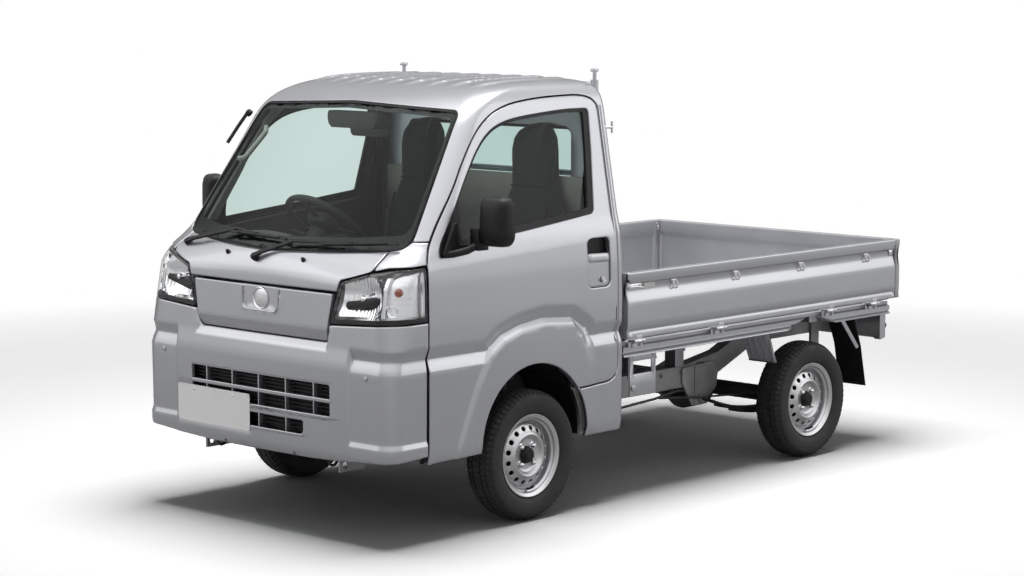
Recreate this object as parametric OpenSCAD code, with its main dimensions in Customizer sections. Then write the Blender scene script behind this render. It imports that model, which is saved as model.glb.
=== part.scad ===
// Cab-over mini pickup truck with drop-side bed, parked with wheels straight.
// Frame: origin on the ground under the middle of the box, +Z up, the nose towards -Y, left side +X.

/* [Overall] */
// Length from the bumper to the tailgate
body_length = 3395; // [3300:5:3500]
// Width across the body sides
body_width = 1475; // [1450:5:1500]
// Height of the roof panel above the ground
roof_height = 1764; // [1740:2:1800]
// Distance between the axles
wheelbase = 1900; // [1870:5:1930]
// Distance from the front of the bumper to the front axle
front_overhang = 831; // [825:1:837]
// Distance between the front wheel centres across the truck
front_track = 1305; // [1300:1:1309]
// Distance between the rear wheel centres across the truck
rear_track = 1300; // [1290:1:1302]

/* [Cab] */
// Length from the bumper to the back of the cab
cab_length = 1360; // [1352:1:1366]
// Thickness of the doors and pillars
side_wall = 50; // [44:1:54]
// Thickness of the nose, bumper and cowl panels
panel_wall = 25; // [20:1:30]
// Thickness of the roof
roof_wall = 30; // [24:1:40]
// Thickness of the back wall
back_wall = 35; // [30:1:40]
// Gap round the doors
panel_gap = 6; // [5:0.5:7]
// Thickness of the window glass
glass_thickness = 5; // [4:0.5:7]
// Clearance of pieces that are seated in each other
seat_gap = 0.3; // [0.2:0.05:0.5]
// Radius of the cut of the front wheel arch
arch_radius = 312; // [308:1:318]
// Height of the cab floor
floor_height = 380; // [375:1:390]
// Height of the seat deck over the engine
deck_height = 700; // [695:1:720]
// Thickness of the cab floor sheets
floor_sheet = 12; // [8:1:14]

/* [Bed] */
// Height of the load floor
bed_height = 670; // [665:1:675]
// Height of the gates' top edge
gate_top = 958; // [930:1:990]
// Thickness of the gates
gate_wall = 32; // [28:1:34]
// Thickness of the load floor with its ribs
bed_wall = 22; // [18:1:26]

/* [Wheels] */
// Radius of the tyres
tyre_radius = 265; // [260:1:268]
// Width of the tyres
tyre_width = 145; // [135:1:148]
// Radius of the rim flange
rim_radius = 169; // [164:1:174]
// Width of the rim over its flanges
rim_width = 118; // [110:1:122]
// Radius of the wheel spindles
spindle_radius = 18; // [16:0.5:20]
// Radial running clearance on the spindles and pins
running_gap = 0.1; // [0.05:0.01:0.1]

/* [Chassis] */
// Half distance between the outer faces of the frame rails
rail_side = 400; // [390:1:405]
// Width of a frame rail
rail_width = 60; // [50:1:70]
// Height of a frame rail
rail_height = 96; // [90:1:100]
// Distance of the steering axis from the centre line
kingpin_x = 548; // [546:0.5:550]

/* [Hidden] */

half = body_width / 2;
front_y = -body_length / 2;
rear_y = body_length / 2;
axle_front_y = front_y + front_overhang;
axle_rear_y = axle_front_y + wheelbase;
front_wheel_x = front_track / 2;
rear_wheel_x = rear_track / 2;
axle_z = tyre_radius;
cab_back_y = front_y + cab_length;
big = 2000;

// Plan sections of the cab, from the sill to the roof panel.
// Columns: height, inset from the body side, setback from the nose, bow of the nose,
// corner radius, setback from the cab's back.
SEC_Z = 0;
SEC_INSET = 1;
SEC_SETBACK = 2;
SEC_BOW = 3;
SEC_CORNER = 4;
SEC_BACK = 5;
LOW_SECTIONS = [
    [310, 20, 20, 14, 70, 0],
    [345, 8, 3, 14, 80, 0],
    [690, 6, 0, 14, 80, 0],
    [718, 20, 4, 14, 80, 0],
    [760, 6, 10, 14, 100, 0],
    [850, 6, 14, 14, 120, 0],
    [1010, 9, 18, 16, 160, 0],
    [1085, 14, 35, 40, 185, 0],
    [1110, 16, 57, 70, 170, 0],
    [1146, 19, 86, 95, 152, 0]
];
// The heights of the upper sections count down from the roof panel.
HIGH_SECTIONS = [
    [-114, 110, 492, 60, 70, 0],
    [-99, 114, 510, 60, 75, 0],
    [-64, 126, 568, 50, 110, 0],
    [-34, 148, 648, 40, 140, 10],
    [-14, 183, 748, 30, 180, 28],
    [-4, 238, 858, 20, 200, 60],
    [0, 358, 1048, 10, 200, 118]
];
SECTIONS = concat(LOW_SECTIONS, [for (s = HIGH_SECTIONS) [roof_height + s[0], s[1], s[2], s[3], s[4], s[5]]]);
rear_corner = 30;
section_slab = 1;

// Outlines are tables of corner points with a fillet radius: first place, second place, radius.
// On the side of the cab the places are the distance behind the nose and the height.
DOOR_OUTLINE = [
    [230, 318, 12], [228, 1085, 30], [600, 1590, 160], [800, 1692, 200], [1321, 1700, 70],
    [1321, 522, 45], [1080, 512, 0], [831, 330, 0], [700, 318, 0]
];
WINDOW_OUTLINE = [
    [292, 1100, 8], [640, 1597, 130], [850, 1640, 200], [1251, 1646, 30], [1208, 1215, 40]
];
FLARE_OUTLINE = [
    [400, 300, 0], [560, 728, 60], [640, 790, 60], [880, 824, 120], [1080, 806, 80], [1230, 560, 80], [1250, 300, 0]
];
belt_height = 1100;
design_roof = 1764;
arch_z = 330;
nose_bottom = 310;
cowl_top = 1152;
door_front_y = front_y + 230;
nose_back_y = door_front_y - panel_gap;
roof_split = roof_height - 110;
groove_split = LOW_SECTIONS[3][SEC_Z];

// Outlines on the front: distance from the centre line, height, radius.
SCREEN_OUTLINE = [
    [-639, 1143, 25], [-400, 1118, 300], [0, 1106, 300], [400, 1118, 300], [639, 1143, 25],
    [566, 1652, 45], [0, 1676, 400], [-566, 1652, 45]
];
LAMP_OUTLINE = [[391, 843, 14], [421, 1009, 14], [600, 1046, 60], [760, 1082, 0], [760, 870, 0]];
GARNISH_OUTLINE = [[-352, 763, 20], [352, 763, 20], [412, 966, 16], [-412, 966, 16]];
GRILLE_OUTLINE = [[-401, 622, 10], [417, 622, 10], [396, 470, 30], [256, 405, 20], [-240, 405, 20], [-380, 470, 30]];

// Hinge lines
door_hinge_x = half - 22;
door_hinge_y = door_front_y + 16;
door_hinge_z = [430, 930];
hinge_pin = 5;
hinge_barrel = 9;
gate_hinge_x = half - 3;
gate_hinge_z = bed_height - 2;
gate_bottom = bed_height + 10;
tail_face_y = rear_y - 6;
tail_hinge_y = tail_face_y - 3;
gate_front_y = cab_back_y + 37;
gate_back_y = tail_face_y - gate_wall - 6;
seam = 0.8;
bed_front_y = gate_front_y;
bed_side_x = half - gate_wall - 6;
bed_length = gate_back_y - 4 - bed_front_y;
GATE_HINGES = [for (share = [0.0385, 0.323, 0.7415, 0.918]) share * bed_length];
BEAMS = [for (k = [0 : 5]) (0.036 + 0.169 * k) * bed_length];
TAIL_HINGES = [-520, -170, 170, 520];

// Frame rail centre line: distance behind the nose and height.
front_rail_z = floor_height - floor_sheet - seat_gap - rail_height / 2;
rear_axle_run = front_overhang + wheelbase;
RAIL_PATH = [
    [190, front_rail_z], [560, front_rail_z], [740, 394], [rear_axle_run - 551, 400],
    [rear_axle_run - 291, 440], [rear_axle_run - 11, 552], [rear_axle_run + 567, 552]
];

// Helpers
function unit(v) = v / norm(v);

function corner_arc(a, b, c, r, n) =
    let (
        u = unit(a - b),
        v = unit(c - b),
        turn = acos(u * v) / 2,
        o = b + unit(u + v) * r / sin(turn),
        p = b + u * r / tan(turn) - o,
        q = b + v * r / tan(turn) - o,
        start = atan2(p.y, p.x),
        sweep = (atan2(q.y, q.x) - start + 540) % 360 - 180
    )
    r == 0 ? [b] : [for (i = [0 : n]) o + r * [cos(start + sweep * i / n), sin(start + sweep * i / n)]];

function place(p) = [p[0], p[1]];

// Heights above the belt follow the roof.
function raised(z) =
    z > belt_height ? belt_height + (z - belt_height) * (roof_height - belt_height) / (design_roof - belt_height) : z;

function raised_table(table) = [for (p = table) [p[0], raised(p[1]), p[2]]];

// Corner points with fillets, as a closed list of points.
function rounded(table, n = 5) =
    let (k = len(table))
    [for (i = [0 : k - 1])
        each corner_arc(place(table[(i + k - 1) % k]), place(table[i]), place(table[(i + 1) % k]), table[i][2], n)];

// Outline of a plan section, inset by a wall.
function plan_points(s, wall) =
    let (
        w = half - s[SEC_INSET] - wall,
        f = front_y + s[SEC_SETBACK] + wall,
        r = max(s[SEC_CORNER] - wall, 10),
        b = cab_back_y - s[SEC_BACK] - wall,
        rb = max(rear_corner - wall, 5) + s[SEC_BACK],
        cx = w - r,
        cy = f + s[SEC_BOW] + r
    )
    concat(
        [for (k = [-3 : 3]) [cx * k / 4, f + s[SEC_BOW] * k * k / 16]],
        [for (a = [-90 : 11.25 : 0]) [cx + r * cos(a), cy + r * sin(a)]],
        [for (a = [0 : 30 : 90]) [w - rb + rb * cos(a), b - rb + rb * sin(a)]],
        [for (a = [90 : 30 : 180]) [-w + rb + rb * cos(a), b - rb + rb * sin(a)]],
        [for (a = [180 : 11.25 : 270]) [-cx + r * cos(a), cy + r * sin(a)]]
    );

// Height of a section inside the roof's wall.
function section_z(s, wall) =
    let (start = roof_height + HIGH_SECTIONS[0][SEC_Z])
    s[SEC_Z] - wall * max(0, s[SEC_Z] - start) / (roof_height - start);

// Half width of the cab's side at a height below the roof.
function side_x(z) = half - lookup(z, [for (s = SECTIONS) [s[SEC_Z], s[SEC_INSET]]]);

// Cab body as a loft through the plan sections, inset by a wall, between two section numbers.
module cab_loft(wall, from = 0, to = len(SECTIONS) - 1) {
    for (i = [from : to - 1])
        hull()
            for (s = [SECTIONS[i], SECTIONS[i + 1]])
                translate([0, 0, section_z(s, wall) - section_slab / 2])
                    linear_extrude(section_slab)
                        polygon(plan_points(s, wall));
}

// A flat outline (y, z) swept along +X.
module sweep_x(length) {
    rotate([90, 0, 90])
        linear_extrude(length)
            children();
}

// A flat outline (x, z) swept along +Y.
module sweep_y(length) {
    translate([0, length, 0])
        rotate([90, 0, 0])
            linear_extrude(length)
                children();
}

module box(low, high) {
    translate(low)
        cube(high - low);
}

module rod_x(x0, x1, y, z, r) {
    translate([x0, y, z])
        rotate([0, 90, 0])
            cylinder(h = x1 - x0, r = r, $fn = 48);
}

module rod_y(y0, y1, x, z, r) {
    translate([x, y0, z])
        rotate([-90, 0, 0])
            cylinder(h = y1 - y0, r = r, $fn = 48);
}

module rod_z(z0, z1, x, y, r) {
    translate([x, y, z0])
        cylinder(h = z1 - z0, r = r, $fn = 48);
}

module both_sides() {
    children();
    mirror([1, 0, 0])
        children();
}

module side_outline(table) {
    translate([front_y, 0])
        polygon(rounded(raised_table(table)));
}

// Openings cut through the cab
module door_opening() {
    for (x = [0, -big])
        translate([x, 0, 0])
            sweep_x(big)
                offset(delta = panel_gap)
                    side_outline(DOOR_OUTLINE);
}

module arch_opening() {
    rod_x(-big, big, axle_front_y, arch_z, arch_radius);
    box([-big, axle_front_y - arch_radius, 0], [big, axle_front_y + arch_radius, arch_z]);
}

module screen_prism(grow) {
    translate([0, front_y - 10, 0])
        sweep_y(700)
            offset(delta = grow)
                polygon(rounded(raised_table(SCREEN_OUTLINE)));
}

module lamp_prism(grow) {
    both_sides()
        translate([0, front_y - 10, 0])
            sweep_y(nose_back_y - front_y + 10)
                offset(delta = grow)
                    polygon(rounded(LAMP_OUTLINE));
}

module front_prism(table, grow) {
    translate([0, front_y - 10, 0])
        sweep_y(300)
            offset(delta = grow)
                polygon(rounded(table));
}

// Painted cab shell of one wall thickness
module cab_shell(wall, from, to) {
    difference() {
        cab_loft(0, from, to);
        cab_loft(wall, from, to);
    }
}

module cab_sides() {
    color("silver")
        difference() {
            intersection() {
                cab_shell(side_wall, 0, len(SECTIONS) - 5);
                union() {
                    box([-big, nose_back_y + panel_gap, nose_bottom], [big, cab_back_y - back_wall, roof_split]);
                    box([-big, front_y, cowl_top], [big, cab_back_y - back_wall, roof_split]);
                }
            }
            door_opening();
            arch_opening();
            screen_prism(seat_gap);
            box([-560, front_y, 0], [560, cab_back_y, roof_split]);
            box([-half, front_y, 0], [half, axle_front_y, arch_z]);
        }
}

module roof() {
    color("silver")
        difference() {
            intersection() {
                cab_shell(roof_wall, len(LOW_SECTIONS) - 1, len(SECTIONS) - 1);
                box([-big, -big, roof_split + seat_gap], [big, big, roof_height + 1]);
            }
            door_opening();
            screen_prism(seat_gap);
        }
}

BACK_WINDOW = [[-480, 1180, 40], [480, 1180, 40], [480, 1560, 40], [-480, 1560, 40]];

module back_panel() {
    color("silver")
        difference() {
            intersection() {
                cab_loft(0, 0, len(SECTIONS) - 5);
                box([-big, cab_back_y - back_wall + seat_gap, nose_bottom], [big, cab_back_y, roof_split]);
            }
            translate([0, cab_back_y - back_wall - 1, 0])
                sweep_y(back_wall + 2)
                    polygon(rounded(raised_table(BACK_WINDOW)));
            box([-rail_side - 20, cab_back_y - back_wall, 0], [rail_side + 20, cab_back_y + 1, deck_height - 60]);
        }
}

module front_panel() {
    color("silver")
        difference() {
            intersection() {
                cab_shell(panel_wall, 3, 10);
                box([-big, front_y, groove_split], [big, nose_back_y, cowl_top - seat_gap]);
            }
            screen_prism(seat_gap);
            lamp_prism(0);
            front_prism(GARNISH_OUTLINE, 0);
        }
}

module garnish() {
    sink = 5;
    ridge = [[-170, 790, 60], [170, 790, 60], [205, 1000, 30], [-205, 1000, 30]];
    ridge_width = 26;
    color("silver")
        intersection() {
            front_prism(GARNISH_OUTLINE, -seam);
            difference() {
                union() {
                    cab_loft(sink, 3, 8);
                    intersection() {
                        cab_loft(0, 3, 8);
                        difference() {
                            front_prism(ridge, 0);
                            front_prism(ridge, -ridge_width);
                        }
                    }
                }
                cab_loft(panel_wall, 3, 8);
            }
        }
}

module bumper() {
    color("silver")
        difference() {
            intersection() {
                cab_shell(panel_wall, 0, 4);
                box([-big, front_y, nose_bottom], [big, nose_back_y, groove_split - seat_gap]);
            }
            front_prism(GRILLE_OUTLINE, 0);
        }
}

// Slatted insert behind the bumper's mouth
module grille() {
    columns = [-270, -135, 0, 135, 270];
    color("silver")
        intersection() {
            front_prism(GRILLE_OUTLINE, -seat_gap);
            union() {
                box([-half + 200, front_y + 40, nose_bottom + 60], [half - 200, front_y + 46, groove_split - 20]);
                for (r = [560, 500, 440])
                    box([-half + 200, front_y + 8, r - 10], [half - 200, front_y + 42, r + 10]);
                for (c = columns)
                    box([c - 9, front_y + 8, 500], [c + 9, front_y + 42, groove_split - 40]);
            }
        }
}

module headlamps() {
    color("whitesmoke")
        intersection() {
            cab_shell(panel_wall, 4, 8);
            lamp_prism(-seam);
        }
}

module windows() {
    color("lightgray", 0.5) {
        difference() {
            intersection() {
                cab_loft(6, 7, len(SECTIONS) - 3);
                screen_prism(0);
            }
            cab_loft(6 + glass_thickness, 6, len(SECTIONS) - 3);
        }
        translate([0, cab_back_y - back_wall / 2, 0])
            sweep_y(glass_thickness)
                offset(delta = -seat_gap)
                    polygon(rounded(raised_table(BACK_WINDOW)));
    }
}

// A flat bar between two points
module bar(from, to, width, height) {
    run = to - from;
    translate(from)
        rotate([0, -atan2(run.z, norm([run.x, run.y])), atan2(run.y, run.x)])
            box([0, -width / 2, -height / 2], [norm(run), width / 2, height / 2]);
}

// Wipers: pivot, arm end and the two ends of the blade
WIPERS = [
    [[-519, 80, 1096], [-72, 70, 1158], [-229, 88, 1162], [86, 62, 1154]],
    [[-33, 20, 1079], [443, 112, 1156], [266, 68, 1142], [621, 166, 1166]]
];

module wipers() {
    color("black")
        difference() {
            translate([0, front_y, 0])
                for (w = WIPERS) {
                    rod_z(w[0].z - 40, w[0].z + 14, w[0].x, w[0].y, 12);
                    bar(w[0] + [0, 0, 8], w[1], 14, 8);
                    bar(w[2], w[3], 9, 14);
                }
            cab_loft(-seat_gap, 6, 11);
        }
}

module dashboard() {
    profile = [
        [150, 800, 20], [170, 1085, 30], [370, 1095, 40], [420, 1000, 30], [395, 820, 40], [300, 780, 20]
    ];
    color("dimgray") {
        translate([-pillar_x, 0, 0])
            sweep_x(2 * pillar_x)
                side_outline(profile);
        steering_place()
            translate([0, 0, -340])
                cylinder(h = 340 - seat_gap, r = 26, $fn = 32);
        steering_place()
            translate([0, 0, -1])
                cylinder(h = 30, r = 11, $fn = 32);
    }
}

pillar_x = half - 98 - seat_gap;
wheel_tilt = 42;
driver_x = -330;

module steering_place() {
    translate([driver_x, front_y + 620, 1075])
        rotate([-wheel_tilt, 0, 0])
            children();
}

module steering_wheel() {
    ring = 178;
    grip = 14;
    color("black")
        steering_place() {
            difference() {
                union() {
                    translate([0, 0, 40])
                        rotate_extrude($fn = 64)
                            translate([ring, 0])
                                circle(grip, $fn = 24);
                    cylinder(h = 52, r = 48, $fn = 48);
                    for (a = [90, 210, 330])
                        rotate([0, 0, a])
                            box([30, -16, 26], [ring, 16, 44]);
                }
                translate([0, 0, -1])
                    cylinder(h = 31, r = 11 + running_gap, $fn = 32);
            }
        }
}

// Cab floor: footwell, toe board, seat riser and the deck over the engine
module cab_floor() {
    inner = half - side_wall - 16;
    riser_y = axle_front_y - 349;
    wheelhouse_x = rail_side;
    deck_back_y = cab_back_y - back_wall;
    color("gray") {
        box([-inner, front_y + 110, floor_height - floor_sheet], [inner, riser_y, floor_height]);
        box([-inner, riser_y, floor_height - floor_sheet], [inner, riser_y + floor_sheet, deck_height]);
        box([-inner, riser_y, deck_height - floor_sheet], [inner, deck_back_y, deck_height]);
        both_sides() {
            box(
                [wheelhouse_x, riser_y, 460],
                [wheelhouse_x + floor_sheet, deck_back_y, deck_height]
            );
            box([half - 98, front_y + 182, floor_height - floor_sheet], [half - 74, door_hinge_y - 8, 1060]);
            for (z = door_hinge_z)
                for (side = [-36, 24]) {
                    box([half - 90, door_hinge_y - 8, z + side], [door_hinge_x, door_hinge_y + 8, z + side + 12]);
                    rod_z(z + side, z + side + 12, door_hinge_x, door_hinge_y, 8);
                }
            for (z = door_hinge_z)
                rod_z(z - 36, z + 36, door_hinge_x, door_hinge_y, hinge_pin);
        }
        translate([-inner, 0, 0])
            sweep_x(2 * inner)
                translate([front_y, 0])
                    polygon([[100, floor_height - floor_sheet], [112, floor_height - floor_sheet], [132, 790], [120, 790]]);
    }
}

module seats() {
    back_top = roof_height - deck_height - 414;
    color("dimgray")
        both_sides()
            translate([-driver_x, cab_back_y - back_wall, deck_height]) {
                hull()
                    for (x = [-200, 200])
                        for (p = [[-590, 30], [-620, 100], [-160, 30], [-160, 120]])
                            translate([x, p[0], p[1] + seat_gap])
                                rotate([0, 90, 0])
                                    cylinder(h = 60, r = 30, center = true, $fn = 20);
                hull()
                    for (x = [-190, 190])
                        for (p = [[-122, 100], [-48, 100], [-90, back_top], [-40, back_top]])
                            translate([x, p[0], p[1]])
                                rotate([0, 90, 0])
                                    cylinder(h = 60, r = 36, center = true, $fn = 20);
                hull()
                    for (x = [-90, 90])
                        for (p = [[-85, back_top + 68 + seat_gap], [-42, back_top + 200], [-45, back_top + 68 + seat_gap]])
                            translate([x, p[0], p[1]])
                                rotate([0, 90, 0])
                                    cylinder(h = 60, r = 32, center = true, $fn = 20);
            }
}

// Ladder frame, with tow eyes ahead of the rails
tow_eye = [98, 288];
tow_eye_radius = 14;

function rail_outline(height) =
    concat(
        [for (p = RAIL_PATH) [front_y + p[0], p[1] + height / 2]],
        [for (i = [len(RAIL_PATH) - 1 : -1 : 0]) [front_y + RAIL_PATH[i][0], RAIL_PATH[i][1] - height / 2]]
    );

module frame() {
    sheet = 8;
    hanger_y = axle_rear_y - 434;
    shackle_y = axle_rear_y + 434;
    color("dimgray") {
        both_sides() {
            difference() {
                translate([rail_side - rail_width, 0, 0])
                    sweep_x(rail_width)
                        polygon(rail_outline(rail_height));
                translate([rail_side - rail_width - 1, 0, 0])
                    sweep_x(rail_width - sheet + 1)
                        polygon(rail_outline(rail_height - 2 * sheet));
                rod_x(rail_side - 20, rail_side + 20, axle_rear_y - 405, 432, 22);
            }
            box([rail_side, hanger_y - 45, 262], [rail_side + 14, hanger_y + 45, 440]);
            rod_x(rail_side + 10, rail_side + 22, hanger_y, 292, 24);
            box([rail_side, shackle_y - 30, 330], [rail_side + 14, shackle_y + 30, 560]);
            rod_x(rail_side + 10, rail_side + 22, shackle_y, 352, 22);
            difference() {
                box([rail_side - 10, front_y + 70, 262], [rail_side, front_y + 200, 350]);
                rod_x(rail_side - 20, rail_side + 10, front_y + tow_eye.x, tow_eye.y, tow_eye_radius);
            }
        }
        for (p = [[240, front_rail_z], [rear_axle_run - 631, 400], [rear_axle_run + 499, 552]])
            box(
                [-rail_side + sheet, front_y + p[0], p[1] - 20],
                [rail_side - sheet, front_y + p[0] + 60, p[1] + 30]
            );
    }
}

module leaf_springs() {
    sag = 77;
    span = 434;
    leaf = 9;
    bend = (span * span + sag * sag) / (2 * sag);
    low = axle_z - 50;
    leaves = [[1, 0], [0.8, 1], [0.55, 2]];
    color("dimgray")
        both_sides()
            for (l = leaves) {
                sweep = asin(span * l[0] / bend);
                translate([rail_side + 22 + seat_gap, axle_rear_y, low + bend])
                    rotate([-90, 0, -90])
                        rotate([0, 0, 90 - sweep])
                            rotate_extrude(angle = 2 * sweep, $fn = 128)
                                translate([bend + l[1] * leaf, 0])
                                    square([leaf - 0.2, 60]);
            }
}

module rear_axle() {
    tube = 36;
    color("dimgray") {
        rod_x(-rear_wheel_x + 70, rear_wheel_x - 70, axle_rear_y, axle_z, tube);
        rod_y(axle_rear_y - 62, axle_rear_y + 54, 0, axle_z, 112);
        rod_y(axle_rear_y + 53, axle_rear_y + 74, 0, axle_z, 84);
        rod_y(axle_rear_y - 170, axle_rear_y, 0, axle_z, 52);
        both_sides() {
            rod_x(rear_wheel_x - 90, rear_wheel_x - 78, axle_rear_y, axle_z, 108);
            rod_x(rear_wheel_x - 80, rear_wheel_x + 38, axle_rear_y, axle_z, spindle_radius);
        }
    }
}

engine_back_y = cab_back_y - 90;

module drivetrain() {
    shaft_start = [0, cab_back_y + 460, 385];
    nose_y = axle_rear_y - 170;
    drop = shaft_start.z - axle_z;
    run = nose_y - 16 - shaft_start.y;
    color("gray") {
        box([-250, axle_front_y - 150, 320], [250, engine_back_y, deck_height - 50]);
        rod_y(engine_back_y - 1, cab_back_y + 250, 0, 400, 120);
        rod_y(cab_back_y + 249, shaft_start.y, 0, 385, 70);
        translate(shaft_start)
            rotate([-90 - atan(drop / run), 0, 0])
                cylinder(h = norm([drop, run]), r = 30, $fn = 32);
        rod_y(nose_y - 24, nose_y - seat_gap, 0, axle_z, 44);
        both_sides()
            box([249, axle_front_y + 120, 372], [rail_side - rail_width - seat_gap, axle_front_y + 190, 420]);
    }
}

module fuel_tank() {
    top = bed_height - bed_wall - 38;
    color("black")
        translate([0, cab_back_y + 190, 0])
            sweep_y(axle_rear_y - 621 - cab_back_y - 190)
                polygon(rounded([
                    [-half + 90, 360, 40], [-rail_side - 30, 360, 40],
                    [-rail_side - 30, top - seat_gap, 20], [-half + 90, top - seat_gap, 20]
                ]));
}

module exhaust() {
    x = 215;
    z = 345;
    hanger_y = front_y + 2130;
    color("rosybrown") {
        rod_y(engine_back_y + seat_gap, axle_rear_y - 130, x, z, 24);
        rod_y(cab_back_y + 60, cab_back_y + 380, x, z, 62);
        rod_z(z, 380 - seat_gap, x, hanger_y, 9);
    }
}

// Front suspension: cross member and lower arms
module front_suspension() {
    color("dimgray") {
        box([-rail_side, axle_front_y - 45, 232], [rail_side, axle_front_y + 45, 290]);
        both_sides() {
            box([rail_side - rail_width, axle_front_y - 40, 290], [rail_side - 6, axle_front_y + 40, 346 - seat_gap]);
            translate([0, axle_front_y - 25, 0])
                sweep_y(50)
                    polygon([
                        [rail_side - 10, 234], [rail_side - 10, 258], [kingpin_x - 45, 205 - seat_gap],
                        [kingpin_x, 205 - seat_gap], [kingpin_x, 180], [kingpin_x - 45, 180]
                    ]);
            rod_z(180, 205 - seat_gap, kingpin_x, axle_front_y, 24);
        }
    }
}

module knuckle(side) {
    color("gray")
        mirror([side < 0 ? 1 : 0, 0, 0]) {
            rod_z(205, 340, kingpin_x, axle_front_y, 24);
            rod_z(340, deck_height - floor_sheet - seat_gap, kingpin_x, axle_front_y, 22);
            rod_z(560, deck_height - floor_sheet - 20, kingpin_x, axle_front_y, 46);
            rod_x(kingpin_x, front_wheel_x + 38, axle_front_y, axle_z, spindle_radius);
            rod_x(kingpin_x + 30, kingpin_x + 40, axle_front_y, axle_z, 104);
        }
}

// Wheel: disc with a ring of vents, bowl and hub
RIM_PROFILE = [
    [-59, 169], [-53, 169], [-50, 155], [-28, 155], [-20, 138], [14, 138], [24, 155], [50, 155], [53, 169], [59, 169],
    [59, 164], [54, 150], [28, 146], [20, 132], [42, 124], [47, 100], [56, 88], [50, 76], [42, 70], [40, 32], [52, 30],
    [52, 0], [-38, 0], [-38, 34], [30, 34], [34, 70], [42, 80], [47, 88], [40, 100], [34, 118], [10, 131], [-22, 131],
    [-30, 146], [-52, 150], [-59, 164]
];
vent_count = 12;

module rim(x, y) {
    stretch = rim_width / 118;
    color("silver")
        translate([x, y, axle_z])
            rotate([0, sign(x) * 90, 0])
                difference() {
                    rotate_extrude($fn = 96)
                        polygon([for (p = RIM_PROFILE) [p[1] * (p[1] > 100 ? rim_radius / 169 : 1), p[0] * stretch]]);
                    translate([0, 0, -40])
                        cylinder(h = 78 + 0.2, r = spindle_radius + running_gap, $fn = 48);
                    for (k = [0 : vent_count - 1])
                        rotate([0, 0, (k + 0.5) * 360 / vent_count])
                            translate([111, 0, 0])
                                cylinder(h = 80, r = 11, $fn = 24);
                    for (k = [0 : 3])
                        rotate([0, 0, 45 + k * 90])
                            translate([50, 0, 0])
                                cylinder(h = 80, r = 6, $fn = 24);
                }
}

module tyre(x, y) {
    w = tyre_width / 2;
    r = tyre_radius;
    seat = (rim_radius - 14) + seat_gap;
    color("black")
        translate([x, y, axle_z])
            rotate([0, 90, 0])
                rotate_extrude($fn = 96)
                    polygon([
                        [seat, -46], [rim_radius + 4, -50], [rim_radius + 10, -62], [(seat + r) / 2, -w], [r - 34, -w + 3],
                        [r - 12, -w + 12], [r - 3, -w + 26], [r, -w + 50], [r, w - 50], [r - 3, w - 26], [r - 12, w - 12],
                        [r - 34, w - 3], [(seat + r) / 2, w], [rim_radius + 10, 62], [rim_radius + 4, 50], [seat, 46],
                        [seat, 34], [rim_radius + 12, 38], [(seat + r) / 2, w - 12], [r - 34, w - 16], [r - 16, w - 34],
                        [r - 16, -w + 34], [r - 34, -w + 16], [(seat + r) / 2, -w + 12], [rim_radius + 12, -38],
                        [seat, -34]
                    ]);
}

// Doors, drawn for the left side
module door_panel() {
    skin = [for (s = SECTIONS) if (s[SEC_Z] < roof_height - 40) s];
    frame_wall = side_wall - 12;
    belt = 1090;
    outer = [for (s = skin) [half - s[SEC_INSET], s[SEC_Z]]];
    inner = [for (i = [len(skin) - 1 : -1 : 0])
        [half - skin[i][SEC_INSET] - (skin[i][SEC_Z] > belt ? frame_wall : side_wall), skin[i][SEC_Z]]];
    flare_base = half - 16;
    difference() {
        union() {
            intersection() {
                translate([0, front_y, 0])
                    sweep_y(cab_length)
                        polygon(concat(outer, inner));
                sweep_x(big)
                    side_outline(DOOR_OUTLINE);
            }
            intersection() {
                hull() {
                    translate([flare_base, 0, 0])
                        sweep_x(1)
                            side_outline(FLARE_OUTLINE);
                    translate([half - 1, axle_front_y * 0.08, arch_z * 0.08])
                        sweep_x(1)
                            scale([0.92, 0.92])
                                side_outline(FLARE_OUTLINE);
                }
                translate([half - 30, 0, 0])
                    sweep_x(60)
                        side_outline(DOOR_OUTLINE);
            }
        }
        arch_opening();
        translate([half - 300, 0, 0])
            sweep_x(600)
                side_outline(WINDOW_OUTLINE);
        for (z = door_hinge_z)
            box([half - 80, front_y, z - 45], [half - 12, door_hinge_y + 27, z + 45]);
        difference() {
            box([door_hinge_x, door_front_y - 10, 0], [half + 10, door_hinge_y, 1100]);
            rod_z(-1, 1101, door_hinge_x, door_hinge_y, 16);
        }
        box([half - 26, front_y + 1152, 918], [half + 1, front_y + 1290, 1108]);
    }
    difference() {
        for (z = door_hinge_z) {
            rod_z(z - 20, z + 20, door_hinge_x, door_hinge_y, hinge_barrel);
            box([door_hinge_x - 6, door_hinge_y, z - 20], [door_hinge_x + 7, door_hinge_y + 40, z + 20]);
        }
        for (z = door_hinge_z)
            rod_z(z - 50, z + 50, door_hinge_x, door_hinge_y, hinge_pin + running_gap);
    }
    box([half - 28, front_y + 1160, 930], [half - 14, front_y + 1282, 1040]);
}

sail_line = 395;

module door_pane() {
    glass_inset = 18;
    skin = [for (s = SECTIONS) if (s[SEC_Z] > 1050 && s[SEC_Z] < roof_height - 40) s];
    outer = [for (s = skin) [half - s[SEC_INSET] - glass_inset, s[SEC_Z]]];
    inner = [for (i = [len(skin) - 1 : -1 : 0])
        [half - skin[i][SEC_INSET] - glass_inset - glass_thickness, skin[i][SEC_Z]]];
    intersection() {
        translate([0, front_y, 0])
            sweep_y(cab_length)
                polygon(concat(outer, inner));
        sweep_x(big)
            intersection() {
                offset(delta = -seat_gap)
                    side_outline(WINDOW_OUTLINE);
                translate([front_y + sail_line, 0])
                    square([big, big]);
            }
    }
}

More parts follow.
